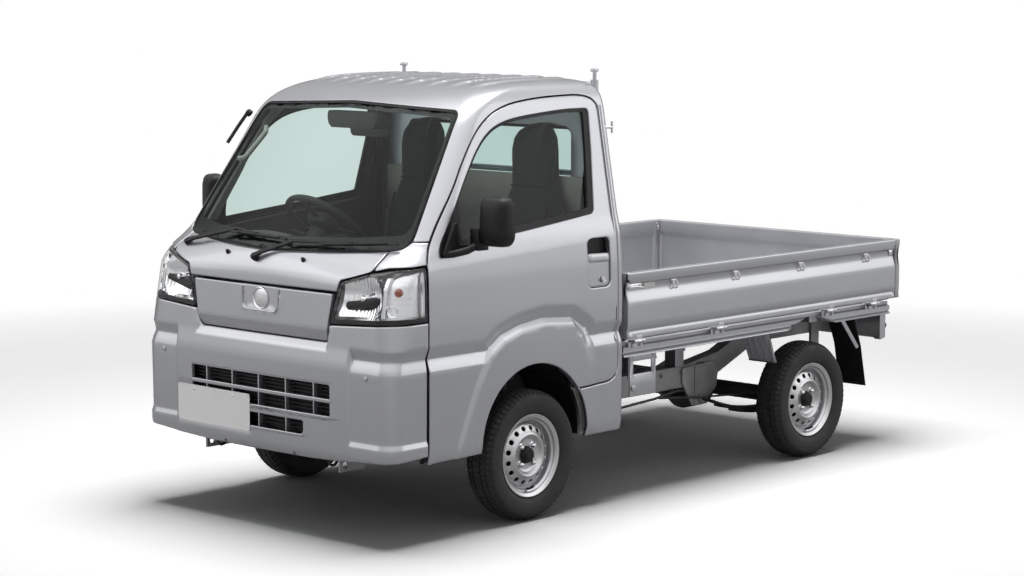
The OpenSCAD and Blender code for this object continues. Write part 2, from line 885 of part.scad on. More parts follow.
module mirror_piece() {
    head = [half + 38, half + 188];
    intersection() {
        translate([half - 46, 0, 0])
            sweep_x(28)
                intersection() {
                    offset(delta = -seat_gap)
                        side_outline(WINDOW_OUTLINE);
                    translate([front_y, 0])
                        square([sail_line - seat_gap, big]);
                }
        box([0, front_y, 0], [half, 0, 1240]);
    }
    translate([half - 24, front_y + 330, 1128])
        rotate([0, 55, 60])
            cylinder(h = 165, r = 11, $fn = 24);
    hull()
        for (x = head)
            for (z = [1165, 1315])
                for (y = [460, 490])
                    translate([x + (x == head[0] ? 20 : -20), front_y + y, z])
                        sphere(r = 22, $fn = 20);
}

module door_left() {
    color("silver")
        door_panel();
}

module door_right() {
    color("silver")
        mirror([1, 0, 0])
            door_panel();
}

module door_glass_left() {
    color("lightgray", 0.5)
        door_pane();
}

module door_glass_right() {
    color("lightgray", 0.5)
        mirror([1, 0, 0])
            door_pane();
}

module mirror_left() {
    color("black")
        mirror_piece();
}

module mirror_right() {
    color("black")
        mirror([1, 0, 0])
            mirror_piece();
}

// Gate section: inset from the outer face and height above the gate's bottom
GATE_PROFILE = [[0, 0], [0, 20], [8, 27], [8, 36], [0, 42], [0, 152], [14, 198], [14, 229], [0, 233], [0, 278]];

function gate_outline(outer) =
    let (grow = (gate_top - gate_bottom) - 278)
    concat(
        [for (p = GATE_PROFILE) [outer - p[0], gate_bottom + p[1] + (p[1] > 100 ? grow : 0)]],
        [[outer - gate_wall, gate_top], [outer - gate_wall, gate_bottom]]
    );

module gate_knuckle(length) {
    difference() {
        union() {
            rod_y(-length / 2, length / 2, 0, 0, hinge_barrel);
            box([-12, -length / 2, 0], [0, length / 2, gate_bottom - gate_hinge_z + 2]);
        }
        rod_y(-length, length, 0, 0, hinge_pin + running_gap);
    }
}

module side_gate() {
    translate([0, gate_front_y, 0])
        sweep_y(gate_back_y - gate_front_y)
            polygon(gate_outline(half));
    for (d = GATE_HINGES)
        translate([gate_hinge_x, gate_front_y + d, gate_hinge_z])
            gate_knuckle(40);
}

module gate_left() {
    color("silver")
        side_gate();
}

module gate_right() {
    color("silver")
        mirror([1, 0, 0])
            side_gate();
}

module tailgate() {
    color("silver") {
        rotate([0, 0, 90])
            translate([0, -half + 1, 0])
                sweep_y(body_width - 2)
                    polygon(gate_outline(tail_face_y));
        for (x = TAIL_HINGES)
            translate([x, tail_hinge_y, gate_hinge_z])
                rotate([0, 0, 90])
                    gate_knuckle(40);
    }
}

// Load floor with lengthwise ribs and the front wall of the bed
module bed_floor() {
    rib_count = 10;
    rib_step = 2 * (bed_side_x - 40) / rib_count;
    rib_depth = 8;
    base = bed_height - bed_wall;
    color("silver") {
        box([-bed_side_x, bed_front_y, base], [bed_side_x, gate_back_y - 4, bed_height - rib_depth]);
        for (k = [0 : rib_count - 1])
            box(
                [-bed_side_x + 40 + k * rib_step + 12, bed_front_y + 60, bed_height - rib_depth - 1],
                [-bed_side_x + 40 + (k + 1) * rib_step - 12, gate_back_y - 4, bed_height]
            );
        box([-bed_side_x, bed_front_y, base], [bed_side_x, bed_front_y + 24, gate_top]);
    }
}

function rail_top(y) = lookup(y - front_y, RAIL_PATH) + rail_height / 2;

// Two lugs with a pin along Y at the origin, reaching inwards to the bed's edge
module hinge_bracket(reach) {
    for (end = [-32, 20]) {
        box([-reach, end, -26], [-9, end + 12, 3]);
        box([-10, end, -6], [0, end + 12, 6]);
        rod_y(end, end + 12, 0, 0, 8);
    }
    rod_y(-32, 32, 0, 0, hinge_pin);
}

// Sills, cross members and hinge pins under the bed
module bed_frame() {
    top = bed_height - bed_wall;
    sill_x = half - 24;
    beam = 38;
    color("silver") {
        both_sides() {
            difference() {
                translate([0, bed_front_y, 0])
                    sweep_y(gate_back_y - 4 - bed_front_y)
                        polygon([
                            [sill_x - 60, top], [sill_x - 20, top], [sill_x - 2, top - 6], [sill_x - 2, top - 22],
                            [sill_x - 10, top - 30], [sill_x, top - 36], [sill_x, top - 44], [sill_x - 60, top - 44]
                        ]);
                rod_x(0, big, axle_rear_y, axle_z, 383);
            }
            for (d = GATE_HINGES)
                translate([gate_hinge_x, bed_front_y + d, gate_hinge_z])
                    hinge_bracket(gate_hinge_x - bed_side_x - seat_gap);
            difference() {
                box([sill_x - 30, bed_front_y + 60, 500], [sill_x - 24, bed_front_y + 240, top - 44]);
                box([sill_x - 40, bed_front_y + 85, 520], [sill_x, bed_front_y + 215, 575]);
            }
            for (d = [BEAMS[0], BEAMS[2]])
                box(
                    [rail_side - rail_width, bed_front_y + d, rail_top(bed_front_y + d + 60) + seat_gap],
                    [rail_side, bed_front_y + d + 60, top - beam]
                );
        }
        for (d = BEAMS)
            box([-sill_x + 60, bed_front_y + d, top - beam], [sill_x - 60, bed_front_y + d + 60, top]);
        box([-sill_x + 60, gate_back_y - 64, top - beam], [sill_x - 60, gate_back_y - 4, top]);
        for (x = TAIL_HINGES)
            translate([x, tail_hinge_y, gate_hinge_z])
                rotate([0, 0, 90]) {
                    hinge_bracket(tail_hinge_y - gate_back_y + 4 - seat_gap);
                    for (end = [-32, 20])
                        box([gate_back_y - 30 - tail_hinge_y, end, -50], [-9, end + 12, top - gate_hinge_z - 1]);
                }
    }
}

// Guard frame behind the cab, with rope hooks
module guard_frame() {
    post_x = 560;
    tube = 16;
    y = cab_back_y + 19;
    color("silver") {
        both_sides() {
            rod_z(bed_height - bed_wall, roof_height - 10, post_x, y, tube);
            rod_z(roof_height - 11, roof_height + 34, post_x, y, 8);
            rod_x(post_x - 18, post_x + 18, y, roof_height + 30, 7);
            box([post_x - 14, y, gate_top - 80], [post_x + 14, bed_front_y - seat_gap, gate_top - 20]);
        }
        for (z = [gate_top - 50, (gate_top + roof_height) / 2, roof_height - 30])
            rod_x(-post_x, post_x, y, z, tube - 3);
    }
}

module rear_panel() {
    top = bed_height - bed_wall - 50;
    color("silver")
        difference() {
            box([-half + 45, rear_y - 97, 490], [half - 45, rear_y - 52, top - seat_gap]);
            box([-half + 53, rear_y - 89, 480], [half - 53, rear_y - 60, top - 10]);
        }
}

module tail_lamps() {
    color("firebrick")
        both_sides()
            box([half - 250, rear_y - 52 + seat_gap, 512], [half - 70, rear_y - 30, 588]);
}

module mudguards() {
    top = bed_height - bed_wall - 44;
    sheet = 4;
    x0 = rear_wheel_x - 90;
    x1 = half - 28;
    color("black")
        both_sides() {
            translate([x0, axle_rear_y, 0])
                sweep_x(x1 - x0)
                    polygon([
                        [-330, top - seat_gap], [-270, 462], [-270 + sheet, 462], [-330 + sheet + 4, top - seat_gap]
                    ]);
            translate([x0, axle_rear_y, 0])
                sweep_x(x1 - x0)
                    polygon([
                        [330, top - seat_gap], [386, 470], [430, 280], [430 + sheet, 280], [386 + sheet, 471],
                        [330 + sheet + 4, top - seat_gap]
                    ]);
        }
}

module knuckle_left() {
    knuckle(1);
}

module knuckle_right() {
    knuckle(-1);
}

module tyre_front_left() {
    tyre(front_wheel_x, axle_front_y);
}

module tyre_front_right() {
    tyre(-front_wheel_x, axle_front_y);
}

module tyre_rear_left() {
    tyre(rear_wheel_x, axle_rear_y);
}

module tyre_rear_right() {
    tyre(-rear_wheel_x, axle_rear_y);
}

module rim_front_left() {
    rim(front_wheel_x, axle_front_y);
}

module rim_front_right() {
    rim(-front_wheel_x, axle_front_y);
}

module rim_rear_left() {
    rim(rear_wheel_x, axle_rear_y);
}

module rim_rear_right() {
    rim(-rear_wheel_x, axle_rear_y);
}

frame();
front_suspension();
rear_axle();
leaf_springs();
drivetrain();
fuel_tank();
exhaust();
cab_floor();
cab_sides();
roof();
back_panel();
front_panel();
garnish();
bumper();
grille();
headlamps();
windows();
wipers();
dashboard();
seats();
bed_floor();
bed_frame();
guard_frame();
rear_panel();
tail_lamps();
mudguards();
door_left();
door_right();
door_glass_left();
door_glass_right();
mirror_left();
mirror_right();
gate_left();
gate_right();
tailgate();
steering_wheel();
knuckle_left();
knuckle_right();
tyre_front_left();
tyre_front_right();
tyre_rear_left();
tyre_rear_right();
rim_front_left();
rim_front_right();
rim_rear_left();
rim_rear_right();
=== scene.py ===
import math
import bmesh
import bpy
import numpy as np
from mathutils import Matrix, Vector
from mathutils.geometry import delaunay_2d_cdt


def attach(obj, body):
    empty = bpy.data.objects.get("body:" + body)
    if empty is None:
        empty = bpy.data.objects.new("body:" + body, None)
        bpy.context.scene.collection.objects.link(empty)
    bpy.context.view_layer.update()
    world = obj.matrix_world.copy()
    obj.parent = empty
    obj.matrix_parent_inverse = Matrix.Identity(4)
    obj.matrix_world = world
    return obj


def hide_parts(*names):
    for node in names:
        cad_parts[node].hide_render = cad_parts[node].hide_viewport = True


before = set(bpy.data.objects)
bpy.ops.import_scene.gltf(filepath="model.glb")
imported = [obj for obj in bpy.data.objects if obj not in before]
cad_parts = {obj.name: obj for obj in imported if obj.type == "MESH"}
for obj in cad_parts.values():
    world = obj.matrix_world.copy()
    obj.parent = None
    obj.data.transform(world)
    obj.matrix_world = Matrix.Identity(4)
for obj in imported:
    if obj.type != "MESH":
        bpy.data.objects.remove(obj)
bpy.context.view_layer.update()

MM = 0.001
FRONT, HALF, BACK, BACK_WALL = -1697.5, 737.5, -312.5, -337.5
AXLE_F, AXLE_R, AXLE_Z = -866.5, 1033.5, 265.0
SCENE = bpy.context.scene


# Materials
class Nodes:
    """A material's node tree with a Principled shader."""

    def __init__(self, name):
        self.mat = bpy.data.materials.new(name)
        self.mat.use_nodes = True
        self.tree = self.mat.node_tree
        self.bsdf = self.tree.nodes["Principled BSDF"]
        self.out = self.tree.nodes["Material Output"]
        self.coord = self.new("ShaderNodeTexCoord").outputs["Object"]

    def new(self, kind, **values):
        n = self.tree.nodes.new(kind)
        for k, v in values.items():
            setattr(n, k, v)
        return n

    def link(self, a, b):
        self.tree.links.new(a, b)

    def noise(self, scale, detail=3.0):
        n = self.new("ShaderNodeTexNoise")
        n.inputs["Scale"].default_value = scale
        n.inputs["Detail"].default_value = detail
        self.link(self.coord, n.inputs["Vector"])
        return n.outputs["Fac"]

    def ramp(self, fac, lo, hi, a, b):
        """Maps fac from lo..hi to a..b."""
        m = self.new("ShaderNodeMapRange")
        m.inputs["From Min"].default_value = lo
        m.inputs["From Max"].default_value = hi
        m.inputs["To Min"].default_value = a
        m.inputs["To Max"].default_value = b
        self.link(fac, m.inputs["Value"])
        return m.outputs["Result"]

    def mix(self, fac, a, b):
        m = self.new("ShaderNodeMix", data_type="RGBA")
        m.inputs[6].default_value = (*a, 1)
        m.inputs[7].default_value = (*b, 1)
        self.link(fac, m.inputs[0])
        return m.outputs[2]

    def bump(self, height, strength, distance):
        b = self.new("ShaderNodeBump")
        b.inputs["Strength"].default_value = strength
        b.inputs["Distance"].default_value = distance
        self.link(height, b.inputs["Height"])
        self.link(b.outputs["Normal"], self.bsdf.inputs["Normal"])


COAT_ROUGH = 0.05


def material(name, tone, tone2=None, *, rough, scale, metal=0.0, grain=None, coat=0.0, spec=0.5):
    """Two tones mixed by noise, roughness from the same noise, and grain as (scale, strength, depth)."""
    n = Nodes(name)
    fac = n.noise(scale, 4.0)
    tone2 = tone2 or tuple(c * 0.82 for c in tone)
    n.link(n.mix(n.ramp(fac, 0.3, 0.7, 0, 1), tone, tone2), n.bsdf.inputs["Base Color"])
    n.link(n.ramp(fac, 0.3, 0.7, *rough), n.bsdf.inputs["Roughness"])
    n.bsdf.inputs["Metallic"].default_value = metal
    n.bsdf.inputs["Specular IOR Level"].default_value = spec
    n.bsdf.inputs["Coat Weight"].default_value = coat
    n.bsdf.inputs["Coat Roughness"].default_value = COAT_ROUGH
    if grain:
        n.bump(n.noise(grain[0], 2.0), grain[1], grain[2])
    return n.mat


def paint_material():
    """Silver metallic paint: fine flake in a base coat under a clear coat."""
    n = Nodes("silver_paint")
    flake = n.noise(2600.0, 1.0)
    cloud = n.noise(2.2, 2.0)
    n.link(n.mix(n.ramp(flake, 0.25, 0.75, 0, 1), (0.32, 0.325, 0.345), (0.41, 0.415, 0.435)),
           n.bsdf.inputs["Base Color"])
    n.link(n.ramp(cloud, 0.3, 0.7, 0.33, 0.38), n.bsdf.inputs["Roughness"])
    n.bsdf.inputs["Metallic"].default_value = 0.82
    n.bsdf.inputs["Coat Weight"].default_value = 0.7
    n.bsdf.inputs["Coat Roughness"].default_value = 0.03
    n.bump(flake, 0.02, 0.0004)
    return n.mat


def glass_material(name, tint, reflect):
    """Thin glass: clear with a tint, with reflections by its Fresnel."""
    n = Nodes(name)
    n.tree.nodes.remove(n.bsdf)
    clear = n.new("ShaderNodeBsdfTransparent")
    gloss = n.new("ShaderNodeBsdfGlossy")
    gloss.inputs["Roughness"].default_value = 0.02
    gloss.inputs["Color"].default_value = (reflect, reflect, reflect, 1)
    n.link(n.mix(n.ramp(n.noise(1.5), 0.3, 0.7, 0, 1), tint, tuple(c * 0.97 for c in tint)),
           clear.inputs["Color"])
    fres = n.new("ShaderNodeFresnel")
    side = n.new("ShaderNodeNewGeometry").outputs["Backfacing"]
    n.link(n.ramp(side, 0, 1, 1.45, 1 / 1.45), fres.inputs["IOR"])
    mix = n.new("ShaderNodeMixShader")
    n.link(fres.outputs["Fac"], mix.inputs[0])
    n.link(clear.outputs[0], mix.inputs[1])
    n.link(gloss.outputs[0], mix.inputs[2])
    n.link(mix.outputs[0], n.out.inputs["Surface"])
    return n.mat


PAINT = paint_material()
BLACK = material("black_plastic", (0.008, 0.008, 0.009), (0.014, 0.014, 0.015), rough=(0.4, 0.52), scale=30,
                 grain=(900, 0.25, 0.0006), spec=0.22)
GLOSS_BLACK = material("gloss_black", (0.005, 0.005, 0.006), rough=(0.14, 0.22), scale=12, spec=0.25)
# Black rubber for seals, stops and piping; also the black of the strips in the bed's side slots, which is
# painted shade.
RUBBER_AND_SLOT_SHADE = material("seal_rubber_and_slot_shade", (0.008, 0.008, 0.009), (0.013, 0.013, 0.013), rough=(0.6, 0.75), scale=40,
                  grain=(500, 0.2, 0.0005), spec=0.2)
TYRE = material("tyre_rubber", (0.018, 0.018, 0.019), (0.034, 0.033, 0.032), rough=(0.62, 0.8), scale=18,
                grain=(420, 0.3, 0.0006), spec=0.4)
WHEEL = material("wheel_silver", (0.50, 0.50, 0.51), (0.42, 0.42, 0.43), metal=0.75, rough=(0.3, 0.4),
                 scale=9, grain=(700, 0.08, 0.0004), coat=0.25)
STEEL = material("bright_steel", (0.62, 0.62, 0.63), (0.48, 0.48, 0.49), metal=1.0, rough=(0.24, 0.4),
                 scale=25, grain=(300, 0.1, 0.0004))
CHROME = material("lamp_chrome", (0.86, 0.86, 0.87), (0.80, 0.80, 0.82), metal=1.0, rough=(0.06, 0.12),
                  scale=20)
FRAME = material("chassis_grey", (0.26, 0.26, 0.265), (0.38, 0.38, 0.385), metal=0.45, rough=(0.45, 0.65),
                 scale=7, grain=(120, 0.25, 0.001))
UNDER = material("chassis_black", (0.016, 0.016, 0.017), (0.035, 0.034, 0.033), rough=(0.5, 0.7), scale=9,
                 grain=(160, 0.3, 0.001))
CAST = material("cast_metal", (0.16, 0.16, 0.16), (0.26, 0.25, 0.24), metal=0.6, rough=(0.45, 0.65),
                scale=14, grain=(260, 0.35, 0.001))
EXHAUST = material("exhaust_steel", (0.30, 0.24, 0.20), (0.20, 0.15, 0.12), metal=0.7, rough=(0.4, 0.6),
                   scale=8, grain=(200, 0.25, 0.001))
DASH = material("dash_plastic", (0.05, 0.05, 0.053), (0.065, 0.065, 0.068), rough=(0.55, 0.68), scale=20,
                grain=(700, 0.3, 0.0006))
LINER = material("trim_greige", (0.72, 0.70, 0.65), (0.66, 0.64, 0.59), rough=(0.6, 0.75), scale=14,
                 grain=(600, 0.25, 0.0006))
FLOOR_MAT = material("floor_rubber", (0.03, 0.03, 0.031), (0.045, 0.045, 0.045), rough=(0.65, 0.8), scale=12,
                     grain=(350, 0.4, 0.0009))
# Deck paint, paler and less metallic than the body paint. On the gates' inner sheets and the bed's front
# wall it is painted light: a lit copy of the body paint on faces that the lamps reach only at grazing.
DECK_AND_LIT_INSIDE = material("deck_paint_and_lit_inside", (0.47, 0.475, 0.50), (0.53, 0.535, 0.56), metal=0.2, rough=(0.38, 0.5),
                scale=5, grain=(220, 0.12, 0.0005), coat=0.2)
WHITE = material("plate_white", (0.97, 0.97, 0.965), (0.95, 0.95, 0.945), rough=(0.35, 0.45), scale=8,
                 coat=0.2)
RED = material("red_lens", (0.42, 0.012, 0.012), (0.32, 0.008, 0.008), rough=(0.1, 0.16), scale=25, coat=0.6)
AMBER = material("amber_lens", (0.52, 0.10, 0.03), (0.42, 0.07, 0.02), rough=(0.12, 0.2), scale=25, coat=0.5)
LAMP_GREY = material("lamp_house", (0.92, 0.92, 0.93), (0.84, 0.84, 0.86), metal=0.7, rough=(0.2, 0.3),
                     scale=12)
GLASS = glass_material("window_glass", (0.79, 0.872, 0.852), 0.32)
LENS = glass_material("lamp_lens", (0.95, 0.955, 0.96), 0.6)


def cloth_material():
    """Dark woven seat cloth."""
    n = Nodes("seat_cloth")
    wave = n.new("ShaderNodeTexVoronoi")
    wave.inputs["Scale"].default_value = 420.0
    n.link(n.coord, wave.inputs["Vector"])
    fac = n.noise(40.0, 4.0)
    n.link(n.mix(n.ramp(fac, 0.3, 0.7, 0, 1), (0.028, 0.030, 0.032), (0.036, 0.038, 0.040)),
           n.bsdf.inputs["Base Color"])
    n.link(n.ramp(fac, 0.3, 0.7, 0.8, 0.95), n.bsdf.inputs["Roughness"])
    n.bsdf.inputs["Sheen Weight"].default_value = 0.2
    n.bump(wave.outputs["Distance"], 0.3, 0.0005)
    return n.mat


CLOTH = cloth_material()


# Mesh pieces
def unit(v):
    return v / np.maximum(np.linalg.norm(v, axis=-1, keepdims=True), 1e-9)


def smooth(a, b, x):
    t = np.clip((np.asarray(x, float) - a) / (b - a), 0, 1)
    return t * t * (3 - 2 * t)


def ramp(a, b, x):
    return np.clip((np.asarray(x, float) - a) / (b - a), 0, 1)


def mirrored(part):
    v = np.array(part[0], float) * (-1, 1, 1)
    return v, [tuple(reversed(f)) for f in part[1]]


def kept(part):
    return part


SIDES = (("left", kept), ("right", mirrored))


def moved(part, offset, turn=None):
    v = np.array(part[0], float)
    if turn is not None:
        v = v @ np.array(turn.to_3x3()).T
    return v + np.array(offset, float), part[1]


def make(name, parts, mat, body, replaces=(), angle=32, weld=0.02, both=False):
    """One object from parts (points in mm, faces)."""
    if both:
        parts = list(parts) + [mirrored(p) for p in parts]
    points, faces = [], []
    base = 0
    for p in parts:
        v = np.asarray(p[0], float)
        points.append(v)
        faces += [tuple(i + base for i in f) for f in p[1]]
        base += len(v)
    mesh = bpy.data.meshes.new(name)
    mesh.from_pydata((np.concatenate(points) * MM).tolist(), [], faces)
    bm = bmesh.new()
    bm.from_mesh(mesh)
    bmesh.ops.remove_doubles(bm, verts=bm.verts, dist=weld * MM)
    bmesh.ops.dissolve_degenerate(bm, dist=0.001 * MM, edges=bm.edges)
    bm.to_mesh(mesh)
    bm.free()
    mesh.materials.append(mat)
    mesh.shade_smooth()
    mesh.set_sharp_from_angle(angle=math.radians(angle))
    obj = bpy.data.objects.new(name, mesh)
    SCENE.collection.objects.link(obj)
    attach(obj, body)
    if replaces:
        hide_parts(*replaces)
    return obj


SHARP = math.radians(25)


def bevelled(verts, faces, r, segments):
    """Rounds the sharp edges of a closed part."""
    bm = bmesh.new()
    bv = [bm.verts.new(v) for v in verts]
    for f in faces:
        bm.faces.new([bv[i] for i in f])
    bmesh.ops.recalc_face_normals(bm, faces=bm.faces)
    edges = [e for e in bm.edges if e.is_manifold and e.calc_face_angle(0) > SHARP]
    if r > 0:
        bmesh.ops.bevel(bm, geom=edges, offset=r, offset_type="OFFSET", segments=segments, profile=0.5,
                        affect="EDGES", clamp_overlap=True)
    bm.verts.index_update()
    out = (np.array([v.co[:] for v in bm.verts]), [tuple(v.index for v in f.verts) for f in bm.faces])
    bm.free()
    return out


def rbox(lo, hi, r, segments=2):
    lo, hi = np.minimum(lo, hi), np.maximum(lo, hi)
    v = [(lo[0] if i & 1 else hi[0], lo[1] if i & 2 else hi[1], lo[2] if i & 4 else hi[2]) for i in range(8)]
    f = [(0, 1, 3, 2), (4, 6, 7, 5), (0, 4, 5, 1), (2, 3, 7, 6), (0, 2, 6, 4), (1, 5, 7, 3)]
    return bevelled(v, f, min(r, 0.45 * float((hi - lo).min())), segments)


AXES = {"x": (1, 2, 0), "y": (0, 2, 1), "z": (0, 1, 2)}


def prism(outline, axis, a0, a1, r, segments):
    """A flat outline swept along an axis: the outline's places are the other two axes in order."""
    o = np.array(outline, float)
    n = len(o)
    i, j, k = AXES[axis]
    v = np.zeros((2 * n, 3))
    v[:, i] = np.tile(o[:, 0], 2)
    v[:, j] = np.tile(o[:, 1], 2)
    v[:n, k], v[n:, k] = a0, a1
    f = [tuple(range(n)), tuple(range(2 * n - 1, n - 1, -1))]
    f += [(q, n + q, n + (q + 1) % n, (q + 1) % n) for q in range(n)]
    return bevelled(v, f, r, segments)


def grid(p):
    """Faces over an array of points [n, m], closed round the first way."""
    n, m = p.shape[:2]
    i, j = np.meshgrid(np.arange(n), np.arange(m - 1), indexing="ij")
    a, b = i * m + j, ((i + 1) % n) * m + j
    f = np.stack([a, b, b + 1, a + 1], -1).reshape(-1, 4)
    return p.reshape(-1, 3), [tuple(q) for q in f.tolist()]


def lathe(profile, centre, axis, n):
    """Profile points (radius, height) turned round an axis."""
    p = np.array(profile, float)
    z = unit(np.array(axis, float))
    x = unit(np.cross(z, (0, 0, 1) if abs(z[2]) < 0.9 else (1, 0, 0)))
    y = np.cross(z, x)
    a = np.radians(np.linspace(0, 360, n, endpoint=False))
    ring = np.cos(a)[:, None] * x + np.sin(a)[:, None] * y
    return grid(np.array(centre) + p[:, 0][None, :, None] * ring[:, None, :] + p[:, 1][None, :, None] * z)


def rounded_line(points, radius, n=5):
    """An open line with its corners filleted."""
    p = [np.array(q, float) for q in points]
    r = radius if isinstance(radius, (list, tuple)) else [radius] * len(p)
    out = [p[0]]
    for i in range(1, len(p) - 1):
        u, v = unit(p[i - 1] - p[i]), unit(p[i + 1] - p[i])
        half = math.acos(float(np.clip(u @ v, -1, 1))) / 2
        if half > 1.56:
            out.append(p[i])
            continue
        room = min(np.linalg.norm(p[i - 1] - p[i]), np.linalg.norm(p[i + 1] - p[i]))
        cut = min(r[i] / math.tan(half), 0.49 * room)
        a, b = p[i] + u * cut, p[i] + v * cut
        for k in range(n + 1):
            t = k / n
            out.append((1 - t) ** 2 * a + 2 * t * (1 - t) * p[i] + t * t * b)
    out.append(p[-1])
    return np.array(out)


def rounded_loop(table, n=6):
    """A closed outline from rows (a, b, radius)."""
    k = len(table)
    out = []
    for i in range(k):
        a, b, c = (np.array(table[(i + d) % k][:2], float) for d in (-1, 0, 1))
        r = table[i][2] if len(table[i]) > 2 else 0
        u, v = unit(a - b), unit(c - b)
        half = math.acos(float(np.clip(u @ v, -1, 1))) / 2
        if r <= 0 or half > 1.55:
            out.append(b)
            continue
        r = min(r, 0.48 * math.tan(half) * min(np.linalg.norm(a - b), np.linalg.norm(c - b)))
        o = b + unit(u + v) * r / math.sin(half)
        p, q = b + u * r / math.tan(half) - o, b + v * r / math.tan(half) - o
        a0 = math.atan2(p[1], p[0])
        turn = (math.atan2(q[1], q[0]) - a0 + 3 * math.pi) % (2 * math.pi) - math.pi
        for t in range(n + 1):
            angle = a0 + turn * t / n
            out.append(o + r * np.array((math.cos(angle), math.sin(angle))))
    return np.array(out)


def rounded_box(a0, b0, a1, b1, radius, n=6):
    """A rounded rectangle's outline between two corners."""
    return rounded_loop([(a0, b0, radius), (a1, b0, radius), (a1, b1, radius), (a0, b1, radius)], n)


def frames(path, closed, up):
    """Points of a path with two cross directions, carried along it without twist."""
    p = np.array(path, float)
    if closed:
        t = unit(np.roll(p, -1, 0) - np.roll(p, 1, 0))
    else:
        t = unit(np.gradient(p, axis=0))
    a = np.zeros_like(p)
    b = np.zeros_like(p)
    ref = np.array(up if up is not None else ((0, 0, 1) if abs(t[0][2]) < 0.9 else (1, 0, 0)), float)
    for i in range(len(p)):
        if i and up is None:
            ref = a[i - 1]
        a[i] = unit(ref - (ref @ t[i]) * t[i])
        b[i] = np.cross(t[i], a[i])
    return p, a, b


def loft(rings, closed=False):
    """A form through rings of equal point count, with end caps or closed on itself."""
    p = np.array(rings, float)
    n, m = p.shape[:2]
    f = [(i * m + j, i * m + (j + 1) % m, ((i + 1) % n) * m + (j + 1) % m, ((i + 1) % n) * m + j)
         for i in range(n if closed else n - 1) for j in range(m)]
    if not closed:
        f += [tuple(range(m))[::-1], tuple(range((n - 1) * m, n * m))]
    return p.reshape(-1, 3), f


def sweep(path, section, closed=False, up=None, scale=None):
    """A closed section (across, along up) carried along a path."""
    p, a, b = frames(path, closed, up)
    s = np.array(section, float)
    k = np.ones(len(p)) if scale is None else np.array(scale, float)
    across = s[None, :, 0, None] * b[:, None] + s[None, :, 1, None] * a[:, None]
    return loft(p[:, None] + k[:, None, None] * across, closed)


def circle(r, n):
    a = np.linspace(0, 2 * math.pi, n, endpoint=False)
    return np.stack([r * np.cos(a), r * np.sin(a)], 1)


def tube(path, r, n, closed=False):
    return sweep(path, circle(r, n), closed)


WASHER = 1.6


def bolt(place, normal, r, h):
    """Hexagon head on a washer, domed and chamfered."""
    wide = r * WASHER
    disc = lathe([(0.1, 0), (wide, 0), (wide, 0.16 * h), (wide - 1, 0.24 * h), (r, 0.26 * h)], place,
                 normal, 20)
    head = lathe([(r, 0.2 * h), (r, 0.82 * h), (r * 0.86, h), (0.1, h)], place, normal, 6)
    return [disc, head]


# The cab's skin, as a surface over (run round the plan, climb up the profile)
ROWS = np.array([
    # height, inset, setback, bow, corner, back
    [306, 16, 14, 14, 74, 0], [345, 8, 3, 14, 80, 0], [690, 6, 0, 14, 80, 0],
    [760, 6, 10, 14, 100, 0], [850, 6, 14, 14, 120, 0], [1010, 9, 19, 16, 160, 0],
    [1036, 10.5, 22, 24, 170, 0], [1085, 14, 43, 42, 180, 0], [1110, 16, 60, 70, 170, 0],
    [1146, 19, 87, 95, 152, 0], [1300, 47, 211, 84, 127, 0], [1450, 74, 332, 74, 102, 0],
    [1600, 101, 453, 63, 78, 0], [1650, 110, 493, 60, 72, 0], [1665, 114, 511, 60, 76, 0],
    [1700, 126, 569, 50, 110, 0], [1730, 148, 649, 40, 140, 10], [1750, 183, 749, 30, 180, 28],
    [1760, 238, 859, 20, 200, 60], [1763.5, 358, 1049, 10, 200, 118]], float)


def profile_table():
    """The rows above drawn out in small steps of climb and rounded off, more so at the roof."""
    r = ROWS
    d = np.diff(r, axis=0)
    chord = np.concatenate([[0], np.cumsum(np.hypot(d[:, 0], 0.5 * (d[:, 1] + d[:, 2])))])
    t = np.arange(0, chord[-1], 1.5)
    col = np.stack([np.interp(t, chord, r[:, i]) for i in range(6)], 1)

    def blur(a, sigma):
        n = int(3 * sigma)
        k = np.exp(-0.5 * (np.arange(-n, n + 1) / sigma) ** 2)
        pad = np.concatenate([2 * a[:1] - a[n:0:-1], a, 2 * a[-1:] - a[-2:-n - 2:-1]])
        return np.stack([np.convolve(pad[:, i], k / k.sum(), "valid") for i in range(6)], 1)

    w = smooth(1560, 1640, col[:, 0])[:, None]
    return t, blur(col, 5) * (1 - w) + blur(col, 26) * w


TAB_T, TAB = profile_table()
T_MAX = TAB_T[-1]


def climb(z):
    """Distance up the profile at a height."""
    return np.interp(z, TAB[:, 0], TAB_T)


def plan(t):
    """Plan section at a climb: everything that the surface needs."""
    z, inset, setback, bow, r, back = (np.interp(t, TAB_T, TAB[:, i]) for i in range(6))
    w, f = HALF - inset, FRONT + setback
    b = bow / (w - r) ** 2
    th = np.zeros_like(w)
    for _ in range(10):
        x0 = w - r + r * np.sin(th)
        th = np.arctan(2 * b * x0)
    yc = f + b * x0 ** 2 + r * np.cos(th)
    rb = 30 + back
    yb = BACK - back - rb
    l1 = bow_length(x0, b)
    l2 = r * (math.pi / 2 - th)
    return dict(z=z, w=w, f=f, b=b, r=r, th=th, x0=x0, yc=yc, rb=rb, yb=yb, l1=l1, l2=l2, l3=yb - yc,
                l4=rb * math.pi / 2)


def bow_length(x, b):
    k = 2 * b * x
    return x / 2 * np.sqrt(1 + k * k) + np.arcsinh(k) / (4 * b)


def run_of_x(x, z):
    """Run at which the front has a given distance from the centre line."""
    x, z = np.broadcast_arrays(np.asarray(x, float), np.asarray(z, float))
    q = plan(climb(z))
    ax = np.abs(x)
    on_arc = q["l1"] + q["r"] * (np.arcsin(np.clip((ax - q["w"] + q["r"]) / q["r"], -1, 1)) - q["th"])
    return np.sign(x) * np.where(ax < q["x0"], bow_length(ax, q["b"]), on_arc)


